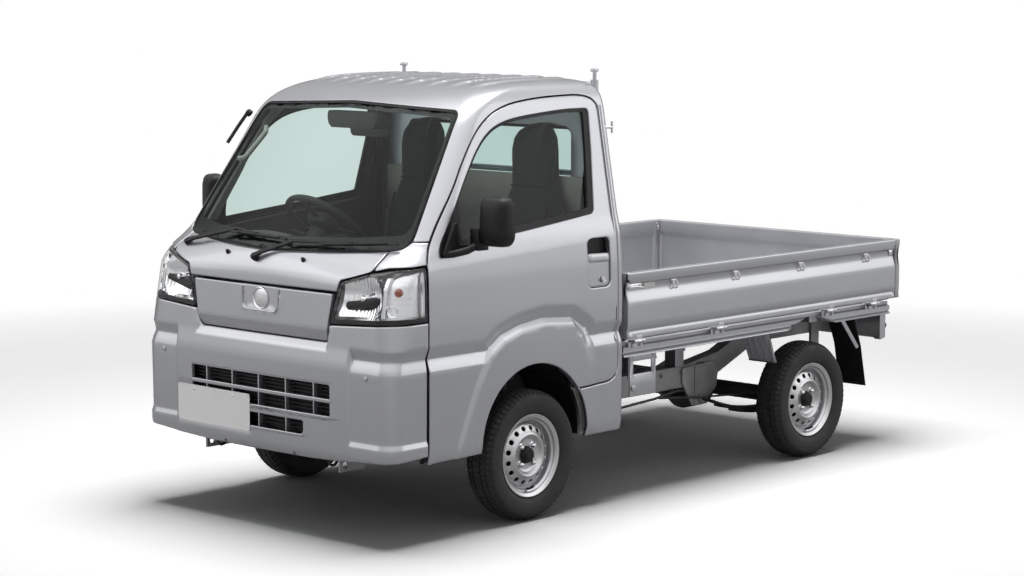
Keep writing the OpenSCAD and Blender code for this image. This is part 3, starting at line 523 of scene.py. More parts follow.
def run_of_y(y, z):
    """Run at which the left side has a given place along the truck."""
    y, z = np.broadcast_arrays(np.asarray(y, float), np.asarray(z, float))
    q = plan(climb(z))
    arc = q["l1"] + q["r"] * (np.arccos(np.clip((q["yc"] - y) / q["r"], -1, 1)) - q["th"])
    return np.where(y > q["yc"], q["l1"] + q["l2"] + y - q["yc"], arc)


def run_end(z):
    q = plan(climb(z))
    return q["l1"] + q["l2"] + q["l3"] + q["l4"]


FLARE = rounded_loop([(-1345, 290, 0), (-1283, 450, 60), (-1216, 596, 80), (-1140, 722, 60),
                      (-1060, 775, 60), (-950, 806, 90), (-815, 822, 120), (-640, 808, 60), (-545, 750, 60),
                      (-480, 620, 80), (-455, 290, 0)], 5)


def inside(loop, p):
    """Which points are inside a closed outline."""
    x, y = p[:, 0], p[:, 1]
    hit = np.zeros(len(p), bool)
    for (x0, y0), (x1, y1) in zip(loop, np.roll(loop, -1, 0)):
        if y0 == y1:
            continue
        hit ^= ((y0 > y) != (y1 > y)) & (x < (x1 - x0) * (y - y0) / (y1 - y0) + x0)
    return hit


def distance(loop, p):
    """Distance of points from a closed outline."""
    best = np.full(len(p), 1e9)
    for a, b in zip(loop, np.roll(loop, -1, 0)):
        ab = b - a
        t = np.clip(((p - a) @ ab) / max(ab @ ab, 1e-9), 0, 1)
        best = np.minimum(best, np.hypot(*(p - a - t[:, None] * ab).T))
    return best


# groove round the corner pads and doors: depth, and the heights of its top, bottom and lower end
GROOVE = 15.0
GROOVE_TOP, GROOVE_MID, GROOVE_LOW = 762.0, 722.0, 674.0
PAD_IN = 505.0
GARN_LOW = 774.0
LEDGE_HIGH, LEDGE_WIDE, LEDGE_DEEP = 30.0, 11.0, 17.0


def garnish_x(z):
    """Half the width of the garnish's opening at a height."""
    return 376 + (z - 777) * 0.176


def relief(x, y, z):
    """How far the skin stands out from the plain surface."""
    ax = np.abs(x)
    front = y < -1471
    d = np.zeros_like(x)
    # V-shaped groove on the corner pads and the doors, and the sunk pads
    pad = smooth(PAD_IN - 2, PAD_IN + 9, ax)
    from_top = ramp(GROOVE_TOP, GROOVE_MID, z)
    base = np.where(front, -7.0, 0.0) * from_top
    low = np.where(front, ramp(387, 405, z), 1.0)
    v = np.where(z > GROOVE_MID, from_top, ramp(GROOVE_LOW, GROOVE_MID, z))
    groove = (base * low - (GROOVE + base * 0.6) * v)
    groove = np.where(z > GROOVE_TOP, 0, groove)
    d = d + groove * pad
    # raised flare over the front wheel
    near = (ax > 690) & (z < 900) & (y > -1470)
    if near.any():
        p = np.stack([y[near], z[near]], 1)
        s = distance(FLARE, p) * np.where(inside(FLARE, p), 1, -1)
        top = ramp(690, 735, p[:, 1])
        g = groove[near]
        band = -GROOVE * top * smooth(-52, 6, s)
        soft = 26 + 70 * ramp(-640, -520, p[:, 0])
        start = np.minimum(g, -GROOVE * top) * (1 - ramp(-560, -520, p[:, 0]) * 0.9)
        rise = start + (8 - start) * smooth(0, soft, s)
        d[near] = np.where(s > 0, rise, np.minimum(g, band))
    # ledge round the lower edge of the garnish
    beside = (ax - garnish_x(np.maximum(z, GARN_LOW))) / LEDGE_WIDE
    q = np.maximum((GARN_LOW - z) / LEDGE_HIGH, beside)
    ledge = -LEDGE_DEEP * np.clip(1 - q, 0, 1)
    ledge = np.where((z < 900) & (ax < 420), ledge, 0)
    # shoulder under the windows
    shoulder = 1066 + (y + 1460) * 0.058
    tilt = -0.075 * np.maximum(z - shoulder, 0) * smooth(-1500, -1420, y)
    tilt = np.maximum(tilt, -6) * smooth(560, 636, ax)
    return d + ledge + tilt


RIB_PITCH, RIB_HIGH = 118.0, 7.0
RIBS = np.arange(5) * RIB_PITCH


def roof_rib(x, y, z):
    """How far the roof's ribs stand up, fading to their ends and to the roof's edge."""
    k = np.abs((x / RIB_PITCH + 0.5) % 1 - 0.5) * RIB_PITCH
    up = 1 - smooth(13, 30, k)
    ahead = smooth(-1060, -1010, y - 0.10 * np.abs(x))
    reach = ahead * (1 - smooth(-440, -415, y)) * (1 - smooth(470, 505, np.abs(x)))
    return RIB_HIGH * up * reach * smooth(1735, 1752, z)


def skin(s, t, depth=0.0, plain=False):
    """Points of the cab's skin, sunk by a depth."""
    s, t = np.asarray(s, float), np.asarray(t, float)
    q = plan(t)
    side = np.where(s < 0, -1.0, 1.0)
    a = np.abs(s)
    x = np.minimum(a, q["x0"])
    for _ in range(4):
        x = x - (bow_length(x, q["b"]) - a) / np.sqrt(1 + (2 * q["b"] * x) ** 2)
    th = q["th"] + (a - q["l1"]) / q["r"]
    e1, e2, e3 = q["l1"], q["l1"] + q["l2"], q["l1"] + q["l2"] + q["l3"]
    e4 = e3 + q["l4"]
    ph = (a - e3) / q["rb"]
    m = [a < e1, a < e2, a < e3, a < e4]
    k = 1 / np.sqrt(1 + (2 * q["b"] * x) ** 2)
    px = np.select(m, [x, q["w"] - q["r"] + q["r"] * np.sin(th), q["w"],
                       q["w"] - q["rb"] + q["rb"] * np.cos(ph)], q["w"] - q["rb"] - (a - e4))
    py = np.select(m, [q["f"] + q["b"] * x * x, q["yc"] - q["r"] * np.cos(th), q["yc"] + a - e2,
                       q["yb"] + q["rb"] * np.sin(ph)], q["yb"] + q["rb"])
    nx = np.select(m, [2 * q["b"] * x * k, np.sin(th), 1 + 0 * a, np.cos(ph)], 0 * a)
    ny = np.select(m, [-k, -np.cos(th), 0 * a, np.sin(ph)], 1 + 0 * a)
    out = (0.0 if plain else relief(px, py, q["z"])) - depth
    steep = 1 - smooth(1700, 1752, q["z"])
    z = q["z"] + (roof_rib(px * side, py, q["z"]) if not plain else 0.0) - (1 - steep) * depth
    out = np.where(q["z"] > 1700, out * steep, out)
    return np.stack([side * (px + nx * out), py + ny * out, z], -1)


def dense(loop, step, closed=True):
    out = []
    ends = np.roll(loop, -1, 0) if closed else loop[1:]
    for a, b in zip(loop, ends):
        n = max(1, int(math.ceil(np.linalg.norm(b - a) / step)))
        out += [a + (b - a) * k / n for k in range(n)]
    if not closed:
        out.append(loop[-1])
    return np.array(out)


def area(loop):
    x, y = loop.T
    return 0.5 * np.sum(x * np.roll(y, -1) - np.roll(x, -1) * y)


EDGE = ((0, 16), (0, 3.2), (1.0, 1.0), (3.2, 0), (7, 0))


def patch(loops, fn, step, rings=EDGE, points=(), flat=None, rows=(), flip=False):
    """A sheet with rolled edges over plane outlines: the first is the outer one, the rest are holes."""
    shaped = []
    for i, lp in enumerate(loops):
        lp = dense(np.asarray(lp, float), step)
        if (area(lp) > 0) != (i == 0):
            lp = lp[::-1]
        shaped.append(lp)
    verts, faces, base, inner = [], [], 0, []
    for lp in shaped:
        e = unit(np.roll(lp, -1, 0) - lp)
        left = np.stack([-e[:, 1], e[:, 0]], 1)
        nrm = unit(left + np.roll(left, 1, 0))
        nrm = nrm / np.clip(np.sum(nrm * left, 1), 0.45, 1)[:, None]
        n = len(lp)
        hold = np.ones(n) if flat is None else 1.0 - flat(lp[:, 0], lp[:, 1])
        for k, (inset, depth) in enumerate(rings):
            p = lp + nrm * inset
            verts.append(fn(p[:, 0], p[:, 1], depth * hold))
            if k:
                o = base - n
                faces += [(o + j, o + (j + 1) % n, base + (j + 1) % n, base + j) for j in range(n)]
            base += n
        inner.append((p, base - n))
    lo, hi = inner[0][0].min(0), inner[0][0].max(0)
    levels = np.arange(lo[1] - step, hi[1] + step, step)
    if len(rows):
        rows = np.array(rows, float)
        levels = levels[np.min(np.abs(levels[:, None] - rows), 1) > 0.55 * step]
        levels = np.sort(np.concatenate([levels, rows]))
    grid = []
    for r, level in enumerate(levels):
        crease = len(rows) > 0 and np.min(np.abs(rows - level)) < 1e-6
        cols = np.arange(lo[0] - step, hi[0] + step, step / 3 if crease else step)
        cols = cols if crease else cols + (r % 2) * step / 2
        grid.append(np.stack([cols, np.full(len(cols), level)], 1))
    grid = np.concatenate(grid)
    if len(points):
        pts = np.concatenate([np.asarray(q, float) for q in points])
        keep = np.ones(len(grid), bool)
        for i in range(0, len(grid), 4000):
            g = grid[i:i + 4000]
            away = np.hypot(g[:, None, 0] - pts[None, :, 0], g[:, None, 1] - pts[None, :, 1])
            keep[i:i + 4000] = np.min(away, 1) > 0.5 * step
        grid = np.concatenate([grid[keep], pts])
    ok = inside(inner[0][0], grid)
    for p, _ in inner[1:]:
        ok &= ~inside(p, grid)
    for p, _ in inner:
        ok[ok] &= distance(p, grid[ok]) > 0.42 * step
    grid = grid[ok]
    flat_pts = np.concatenate([p for p, _ in inner] + [grid])
    owner = np.concatenate([np.arange(len(p)) + b for p, b in inner] + [base + np.arange(len(grid))])
    edges, o = [], 0
    for p, _ in inner:
        edges += [(o + j, o + (j + 1) % len(p)) for j in range(len(p))]
        o += len(p)
    verts.append(fn(grid[:, 0], grid[:, 1], np.zeros(len(grid))))
    base += len(grid)
    co, _, tri, origin, _, _ = delaunay_2d_cdt([Vector(q) for q in flat_pts.tolist()], edges, [], 0, 1e-5)
    co = np.array([c[:] for c in co])
    index, extra = [], []
    for i, og in enumerate(origin):
        if og:
            index.append(int(owner[og[0]]))
        else:
            index.append(base + len(extra))
            extra.append(co[i])
    if extra:
        extra = np.array(extra)
        verts.append(fn(extra[:, 0], extra[:, 1], np.zeros(len(extra))))
    mid = np.array([co[list(f)].mean(0) for f in tri])
    ok = inside(inner[0][0], mid)
    for p, _ in inner[1:]:
        ok &= ~inside(p, mid)
    faces += [tuple(index[i] for i in f) for f, k in zip(tri, ok) if k]
    if flip:
        faces = [tuple(reversed(f)) for f in faces]
    return np.concatenate(verts), faces


def sunk(depth, plain=True):
    """The skin's placing function at a depth."""
    return lambda s, t, d: skin(s, t, d + depth, plain)


def on_side(loop):
    """Outline (place along the truck, height) to run and climb."""
    p = np.asarray(loop, float)
    return np.stack([run_of_y(p[:, 0], p[:, 1]), climb(p[:, 1])], 1)


def on_front(loop):
    """Outline (distance from the centre line, height) to run and climb."""
    p = np.asarray(loop, float)
    return np.stack([run_of_x(p[:, 0], p[:, 1]), climb(p[:, 1])], 1)


# Camera, floor and light
def look_from(azimuth, elevation, roll, place, lens):
    a, e, r = (math.radians(v) for v in (azimuth, elevation, roll))
    back = Vector((math.sin(a) * math.cos(e), -math.cos(a) * math.cos(e), math.sin(e)))
    right = Vector((0, 0, 1)).cross(back).normalized()
    up = back.cross(right)
    x = math.cos(r) * right + math.sin(r) * up
    y = -math.sin(r) * right + math.cos(r) * up
    cam = bpy.data.objects.new("camera", bpy.data.cameras.new("camera"))
    SCENE.collection.objects.link(cam)
    cam.matrix_world = Matrix(((x[0], y[0], back[0], place[0]), (x[1], y[1], back[1], place[1]),
                               (x[2], y[2], back[2], place[2]), (0, 0, 0, 1)))
    cam.data.sensor_fit = "HORIZONTAL"
    cam.data.sensor_width = SENSOR
    cam.data.lens = lens
    cam.data.clip_end = 200
    SCENE.camera = cam


# the photo's camera: angles in degrees, place in metres, focal length and picture width in pixels
CAMERA_AZIMUTH, CAMERA_ELEVATION, CAMERA_ROLL = 42.724, 6.859, 0.126
CAMERA_PLACE = (7.39495, -8.22151, 2.13918)
FOCAL_PIXELS, PHOTO_PIXELS, SENSOR = 2509.87, 1024, 36.0
look_from(CAMERA_AZIMUTH, CAMERA_ELEVATION, CAMERA_ROLL, CAMERA_PLACE, FOCAL_PIXELS / PHOTO_PIXELS * SENSOR)


def softbox(name, place, target, size, power, hidden=()):
    lamp = bpy.data.lights.new(name, "AREA")
    lamp.shape = "RECTANGLE"
    lamp.size, lamp.size_y = size
    lamp.energy = power
    obj = bpy.data.objects.new(name, lamp)
    SCENE.collection.objects.link(obj)
    obj.location = place
    obj.rotation_euler = (Vector(target) - Vector(place)).to_track_quat("-Z", "Y").to_euler()
    for kind in hidden:
        setattr(obj, "visible_" + kind, False)


softbox("light_top", (0, 0, 7.0), (0, 0, 0), (3.8, 4.8), 400)
softbox("light_side", (6.5, 6.0, 3.4), (0.4, 0.2, 1.2), (7.0, 4.5), 165, ("diffuse",))
softbox("light_front", (-5.5, -7.0, 3.6), (0, -0.8, 1.0), (6.5, 4.5), 115, ("diffuse",))
softbox("light_fill", (-2.6, -8.6, 0.7), (0, -1.2, 0.7), (5.0, 1.2), 130, ("glossy",))
softbox("light_fill_side", (8.6, -2.2, 1.0), (0.6, 0, 1.0), (5.0, 1.0), 30, ("glossy",))


def world_light():
    """White for the camera, dim for diffuse light, and a studio for reflections, darker low and in front."""
    world = bpy.data.worlds.new("studio")
    SCENE.world = world
    world.use_nodes = True
    tree = world.node_tree

    def node(kind, links, **sets):
        n = tree.nodes.new(kind)
        for k, v in sets.items():
            setattr(n, k, v)
        for key, value in links.items():
            if hasattr(value, "is_output"):
                tree.links.new(value, n.inputs[key])
            else:
                n.inputs[key].default_value = value
        return n

    def ranged(value, lo, hi, a, b):
        keys = ("Value", "From Min", "From Max", "To Min", "To Max")
        return node("ShaderNodeMapRange", dict(zip(keys, (value, lo, hi, a, b)))).outputs["Result"]

    def along(x, y):
        toward = {0: way, 1: (x, y, 0)}
        return node("ShaderNodeVectorMath", toward, operation="DOT_PRODUCT").outputs["Value"]

    def combine(operation, a, b):
        return node("ShaderNodeMath", {0: a, 1: b}, operation=operation).outputs[0]

    def choose(fac, a, b):
        return node("ShaderNodeMix", {0: fac, 2: a, 3: b}, data_type="FLOAT").outputs[0]

    way = tree.nodes.new("ShaderNodeTexCoord").outputs["Generated"]
    up = node("ShaderNodeSeparateXYZ", {0: way}).outputs["Z"]
    front, rear, past = along(-0.68, -0.73), along(-0.78, 0.62), along(0.3, 0.95)
    tall = combine("ADD", ranged(up, 0.0, 0.1, 0.98, 0.66), ranged(up, 0.12, 0.5, 0.0, 1.12))
    ends = combine("MULTIPLY", ranged(front, 0.2, 0.9, 1.0, 0.78), ranged(rear, 0.45, 0.78, 1.0, 0.34))
    ends = combine("MULTIPLY", ends, ranged(past, 0.4, 0.75, 1.0, 0.78))
    brow = combine("MULTIPLY", ranged(front, 0.3, 0.55, 0.0, 1.0), ranged(up, 0.4, 0.65, 0.0, 0.55))
    room = combine("MULTIPLY", combine("ADD", tall, brow), ends)
    path = tree.nodes.new("ShaderNodeLightPath").outputs
    shiny = combine("MAXIMUM", path["Is Glossy Ray"], path["Is Transmission Ray"])
    level = choose(path["Is Camera Ray"], choose(shiny, 0.1, room), 1.0)
    tree.nodes["Background"].inputs["Color"].default_value = (1, 1, 1, 1)
    tree.links.new(level, tree.nodes["Background"].inputs["Strength"])


world_light()
SCENE.view_settings.view_transform = "Standard"


def studio_floor():
    """A pale floor that takes the shadow and fades into the white background."""
    n = Nodes("studio_floor")
    n.tree.nodes.remove(n.bsdf)
    dirt = n.noise(0.7, 3.0)
    path = n.new("ShaderNodeLightPath")
    both = n.new("ShaderNodeMixShader")
    n.link(path.outputs["Is Camera Ray"], both.inputs[0])
    for k, tone in ((1, 0.7), (2, 1.4)):
        matt = n.new("ShaderNodeBsdfDiffuse")
        n.link(n.mix(dirt, (tone, tone, tone), (tone * 1.02, tone * 1.02, tone * 1.02)),
               matt.inputs["Color"])
        n.link(matt.outputs[0], both.inputs[k])
    clear = n.new("ShaderNodeBsdfTransparent")
    far = n.new("ShaderNodeVectorMath", operation="LENGTH")
    n.link(n.coord, far.inputs[0])
    fade = n.new("ShaderNodeMixShader")
    n.link(n.ramp(far.outputs["Value"], 3.2, 6.5, 0, 1), fade.inputs[0])
    n.link(both.outputs[0], fade.inputs[1])
    n.link(clear.outputs[0], fade.inputs[2])
    n.link(fade.outputs[0], n.out.inputs["Surface"])
    a = np.linspace(0, 2 * math.pi, 96, endpoint=False)
    ring = [(7 * math.cos(q), 7 * math.sin(q), -0.0005) for q in a]
    mesh = bpy.data.meshes.new("floor")
    mesh.from_pydata(ring, [], [tuple(range(96))])
    mesh.materials.append(n.mat)
    obj = bpy.data.objects.new("floor", mesh)
    SCENE.collection.objects.link(obj)
    skipped = bpy.data.collections.new("skipped_by_fill")
    skipped.objects.link(obj)
    skipped.collection_objects[0].light_linking.link_state = "EXCLUDE"
    for name in ("light_fill", "light_fill_side"):
        bpy.data.objects[name].light_linking.receiver_collection = skipped


studio_floor()


# Outlines of the cab's panels
def curve(points, n):
    """A smooth open line through points."""
    p = np.array(points, float)
    q = np.concatenate([2 * p[:1] - p[1:2], p, 2 * p[-1:] - p[-2:-1]])
    out = []
    for i in range(1, len(q) - 2):
        for k in range(n):
            t = k / n
            a, b, c, d = q[i - 1:i + 3]
            out.append(0.5 * (2 * b + (c - a) * t + (2 * a - 5 * b + 4 * c - d) * t * t
                              + (3 * b - a - 3 * c + d) * t ** 3))
    return np.array(out + [p[-1]])


def offset(loop, d):
    """A closed outline grown by a distance."""
    lp = np.asarray(loop, float)
    if area(lp) < 0:
        lp = lp[::-1]
    e = unit(np.roll(lp, -1, 0) - lp)
    out = np.stack([e[:, 1], -e[:, 0]], 1)
    n = unit(out + np.roll(out, 1, 0))
    return lp + d * n / np.clip(np.sum(n * out, 1), 0.5, 1)[:, None]


ARCH_R, ARCH_Z = 312.0, 330.0


def arch(r, a0, a1, n=26):
    a = np.radians(np.linspace(a0, a1, n))
    return np.stack([AXLE_F + r * np.cos(a), ARCH_Z + r * np.sin(a)], 1)


def behind(table):
    """Places measured from the nose to places along the truck."""
    p = np.array(table, float)
    p[:, 0] += FRONT
    return p


# middle of the gap round the door, from the sill up the front edge, over the top and down to the arch
GAP_PILLAR = behind(curve([(226.5, 1078), (258, 1141), (317, 1228), (419, 1358), (483, 1450), (547, 1532),
                           (606, 1589), (669, 1630), (733, 1656), (827, 1678), (981, 1693), (1140, 1698),
                           (1225, 1697), (1290, 1684), (1323, 1655), (1337, 1610), (1341, 1540)], 4))
GAP_LOW = behind(curve([(1341, 610), (1338, 570), (1323, 540), (1292, 523), (1245, 517), (1090, 512)], 4))
GAP = np.concatenate([behind([(227, 312)]), behind([(226.5, 700)]), GAP_PILLAR, behind([(1341, 1000)]),
                      GAP_LOW])


def gap_line(d):
    """The gap's line moved by a distance towards the body."""
    e = unit(np.gradient(GAP, axis=0))
    return GAP + d * np.stack([-e[:, 1], e[:, 0]], 1)


DOOR = np.concatenate([gap_line(-3), arch(ARCH_R, 36.0, 182.2)])
window_top = curve([(300, 1112), (313, 1155), (402, 1275), (501, 1411), (576, 1504), (644, 1563),
                    (721, 1599), (842, 1622), (1085, 1641), (1215, 1643)], 4)
window_back = rounded_line([(1215, 1643), (1268, 1643), (1253, 1474), (1220, 1218), (1100, 1205)], 22)
window_low = curve([(1100, 1205), (872, 1182), (432, 1139), (330, 1109)], 4)
WINDOW = behind(np.concatenate([window_top, window_back[1:-1], window_low, [(310, 1105)]]))
pane_top = curve([(448, 1319), (510, 1404), (584, 1494), (652, 1552), (726, 1587), (846, 1610), (1086, 1628),
                  (1190, 1629)], 4)
pane_back = rounded_line([(1190, 1629), (1235, 1628), (1221, 1474), (1190, 1239), (1080, 1228)], 14)
pane_low = curve([(1080, 1228), (872, 1207), (450, 1168)], 3)
PANE = behind(np.concatenate([[(438, 1167), (438, 1290)], pane_top, pane_back[1:-1], pane_low]))
handle_edge = rounded_loop([(1153, 914, 30), (1296, 914, 30), (1293, 1117, 26), (1153, 1117, 26)])
HANDLE = dense(behind(handle_edge), 8)
SCREEN = rounded_loop([(-641, 1146, 40), (-567, 1133, 160), (-400, 1122, 300), (0, 1107, 400),
                       (400, 1122, 300), (567, 1133, 160), (641, 1146, 40), (566, 1650, 42), (0, 1673, 500),
                       (-566, 1650, 42)], 8)
LAMP_BACK_Y = -1477.0


def lamp_outline(side, low, top, end, radius=10.0):
    """The lamp's outline in run and climb, inset at its inner side, lower edge, top and end by the door."""
    zs = np.linspace(867.0 + low, 1074 - top, 9)
    rear = np.stack([run_of_y(LAMP_BACK_Y - end, zs), climb(zs)], 1)
    low_in, top_in = (395 + side + 0.31 * low, 848 + low), (447 + side - 0.31 * top, 1014 - top)
    front = on_front(strip([low_in, (560, 857.5 + low), (690, 865 + low)], 6))
    above = on_front(strip([(690, 1070.5 - top), (590, 1056 - top), (520, 1036 - top), top_in], 4))
    inner = on_front(strip([top_in, low_in], 6))[1:-1]
    table = [(*p, 0.0) for p in np.concatenate([front, rear, above, inner])]
    for k in (0, len(front), len(front) + len(rear) - 1, len(front) + len(rear) + len(above) - 1):
        table[k] = (*table[k][:2], radius if k in (0, len(table) - len(inner) - 1) else 4.0)
    return rounded_loop(table, 5)


def strip(points, n):
    """A line of points between corner points, n to each run."""
    p = np.asarray(points, float)
    return np.concatenate([np.linspace(p[i], p[i + 1], n, endpoint=False) for i in range(len(p) - 1)]
                          + [p[-1:]])


FLARE_STEPS = (53, 44, 35, 26, 17, 9, 2, -2, -10, -20, -32)
FLARE_LINES = [on_side(dense(offset(FLARE, g), 7)) for g in FLARE_STEPS]
FLARE_LINES = [p[p[:, 1] > climb(322)] for p in FLARE_LINES]
CREASES = climb([z + d for z in (GROOVE_TOP, GROOVE_MID, GROOVE_LOW) for d in (2, -2)])


# Doors
def door_parts():
    """Outer skin and inner trim of the left door."""
    loops = [on_side(dense(DOOR, 9)), on_side(dense(WINDOW, 9)), on_side(HANDLE)]

    def hinge_side(s, t):
        p = skin(s, t, 0, True)
        return 0.75 * ((p[:, 1] < -1440) & (p[:, 2] < 1080))

    rings = ((0, 24), (0, 3.2), (1, 1), (3.2, 0), (7, 0))
    outer = patch(loops, skin, 14, rings, FLARE_LINES, hinge_side, CREASES)
    inner_loop = np.concatenate([gap_line(-22), arch(ARCH_R + 18, 38, 181)])
    hole = offset(WINDOW, 10)
    trim = patch([on_side(inner_loop), on_side(hole)], lambda s, t, d: skin(s, t, 46 - d, True), 24,
                 ((0, 22), (0, 4), (1.2, 1.2), (4, 0), (9, 0)), flip=True)
    return outer, trim


outer, trim = door_parts()
armrest = prism(behind(rounded_loop([(430, 900, 20), (1120, 930, 30), (1120, 985, 16), (430, 955, 16)])),
                "x", HALF - 96, HALF - 48, 8, 3)
pocket = prism(behind(rounded_loop([(300, 420, 30), (500, 420, 60), (560, 620, 60), (300, 600, 30)])), "x",
               HALF - 78, HALF - 50, 8, 3)
pull = tube(rounded_line([(HALF - 60, FRONT + 900, 1010), (HALF - 108, FRONT + 915, 1012),
                          (HALF - 108, FRONT + 1085, 1024), (HALF - 60, FRONT + 1100, 1026)], 22), 11, 12)
for side, flip in SIDES:
    body = "door_%s_body" % side
    make("door_skin_" + side, [flip(outer)], PAINT, body, ("door_" + side,))
    make("door_trim_" + side, [flip(p) for p in (trim, armrest, pocket, pull)], DASH, body)


# Finishes of the CAD nodes that stay in view
NODE_FINISH = (
    (FRAME, "frame"), (PAINT, "bed_frame back_panel rear_panel guard_frame"), (CAST, "drivetrain"),
    (UNDER, "front_suspension rear_axle leaf_springs fuel_tank knuckle_left knuckle_right"),
    (EXHAUST, "exhaust"), (FLOOR_MAT, "cab_floor"), (DECK_AND_LIT_INSIDE, "bed_floor"), (RED, "tail_lamps"),
    (RUBBER_AND_SLOT_SHADE, "mudguards"))
for finish, names in NODE_FINISH:
    for name in names.split():
        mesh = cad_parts[name].data
        mesh.materials.clear()
        mesh.materials.append(finish)
        mesh.shade_smooth()
        mesh.set_sharp_from_angle(angle=math.radians(28))


# Nose
NOSE_END = -1474.0


def on_end(z):
    """Places on the door's gap at the nose's rear edge."""
    z = np.asarray(z, float)
    return np.stack([run_of_y(NOSE_END, z), climb(z)], 1)


def both_halves(half):
    """A closed outline from its left half, which starts and ends on the centre line."""
    h = np.asarray(half, float)
    return np.concatenate([h, (h * (-1, 1))[-2:0:-1]])


def front_at(x, z, depth=0.0):
    """A point on the nose."""
    return skin(run_of_x(x, z), climb(z), depth, True)


# the plate: its middle, half its width and height, its recess, and how far its face lies in from the nose
PLATE_X, PLATE_Z, PLATE_HALF = -277.0, 453.0, (224.0, 75.0)
PLATE_SINK, PLATE_IN = 5.0, 1.2


def nose_skin(s, t, d):
    """The nose with a shallow flat recess behind the plate."""
    p = skin(s, t, 0, True)
    ax = PLATE_HALF[0] - np.abs(p[:, 0] - PLATE_X)
    az = PLATE_HALF[1] - np.abs(p[:, 2] - PLATE_Z)
    return skin(s, t, d + PLATE_SINK * smooth(-6, 0, ax) * smooth(-6, 0, az))


def bumper_part():
    """Bumper skin with its two openings, with close rows of points along the creases."""
    half = np.concatenate([
        on_front(strip([(0, 312), (300, 313), (500, 322), (610, 331)], 5)),
        on_end([345, 352, 365]), on_end(np.linspace(372, 862, 62)),
        on_front(strip([(690, 860.5), (395, 843)], 10)),
        on_front(rounded_line([(388, 839), (375.5, 774), (330, 774)], 20, 6)), on_front([(0, 774)])])
    upper = rounded_box(-407, 489, 407, 613, 8)
    lower = rounded_loop([(-258, 403, 20), (258, 403, 20), (258, 458, 8), (-258, 458, 8)])
    rims = [on_front(strip([(k * x, 380), (k * x, 560), (k * x, 766)], 26))
            for x in range(502, 518, 3) for k in (-1, 1)]
    ledge = []
    for f in (0.5, 0.94, 1.06, 1.3):
        low, side = GARN_LOW - LEDGE_HIGH * f, garnish_x(GARN_LOW) + LEDGE_WIDE * f
        ledge.append(on_front(strip([(-side, low), (side, low)], 130)))
        for k in (-1, 1):
            ledge.append(on_front(strip([(k * side, low), (k * (side + 11.3), 838)], 14)))
    rows = np.concatenate([CREASES, climb([407, 403, 389, 385])])
    openings = [on_front(upper), on_front(lower)]
    return patch([both_halves(half)] + openings, nose_skin, 14, points=rims + ledge, rows=rows)


def pointed_bar(tip, inner, low, high):
    """A painted bar with wedge ends that lies on the nose."""
    low_edge = [(-tip, high - 3), (-inner, low), (inner, low), (tip, high - 3)]
    loop = strip(low_edge + [(tip - 8, high), (8 - tip, high)], 24)
    return patch([on_front(loop)], nose_skin, 14, ((0, 22), (0, 1), (1.2, 0.2), (3, 0)))


def upright(x, low, high):
    y = front_at(x, (low + high) / 2)[1]
    return rbox((x - 3, y + 3, low), (x + 3, y + 34, high), 1.2)


bars = [pointed_bar(452, 410, 543, 557), pointed_bar(490, 408, 469, 490), pointed_bar(438, 412, 615, 626),
        pointed_bar(290, 256, 388, 403)]
bars += [upright(x, 486, 616) for x in (-316, -158, 0, 158, 316)]
bars += [upright(x, 400, 460) for x in (-158, 0, 158)]
make("bumper_cover", [bumper_part()], PAINT, "chassis", ("bumper",))
make("grille_bars", bars, PAINT, "chassis")
back_edge = rounded_box(-440, 380, 440, 640, 30)
mesh_back = patch([on_front(back_edge)], sunk(42), 40, ((0, 0), (6, 0)))
slats = []
for z in (424, 440, 504, 520, 536, 570, 584, 598):
    wide = 256 if z < 460 else 405
    slats.append(patch([on_front(strip([(-wide, z - 2), (wide, z - 2), (wide, z + 2), (-wide, z + 2)], 12))],
                       sunk(26), 40, ((0, 14), (0, 0))))
make("grille_mesh", [mesh_back] + slats, BLACK, "chassis", ("grille",))

# garnish with a shallow dish and a plain disc
DISH = rounded_loop([(-104, 868, 26), (104, 868, 26), (112, 1010, 0), (-112, 1010, 0)])


def garnish_skin(s, t, d):
    p = skin(s, t, 0, True)
    xz = p[:, [0, 2]]
    dish = distance(DISH, xz) * np.where(inside(DISH, xz), 1, -1)
    deep = 2 + 5 * smooth(-1, 7, dish) - 2.5 * np.exp(-(dish / 5) ** 2) + 19 * ramp(820, 777, p[:, 2])
    return skin(s, t, d + deep, True)


garnish_edge = rounded_loop([(-372, 778, 22), (372, 778, 22), (408, 965, 8), (-408, 965, 8)])
dish_lines = [on_front(strip(offset(DISH, g), 3)) for g in (6, 2, -2, -6, -11)]
dish_lines = [p[p[:, 1] < climb(958)] for p in dish_lines]
make("garnish_panel", [patch([on_front(garnish_edge)], garnish_skin, 14, points=dish_lines,
                             rows=climb([822, 818]))], PAINT, "chassis", ("garnish",))
disc_at = front_at(0, 915, 7)
make("nose_disc", [lathe([(0.1, 5.0), (30, 4.2), (37, 2.0), (39, 4.5), (42, 6.5), (45.5, 4.5), (46.5, 0)],
                         disc_at, (0, -1, 0), 64)], STEEL, "chassis")
bead = on_front(rounded_line([(-107, 956), (-103, 868), (103, 868), (107, 956)], 26, 8))
bead = dense(bead, 10, False)
make("garnish_bead", [tube(garnish_skin(bead[:, 0], bead[:, 1], -0.5), 3.2, 8)], PAINT, "chassis")

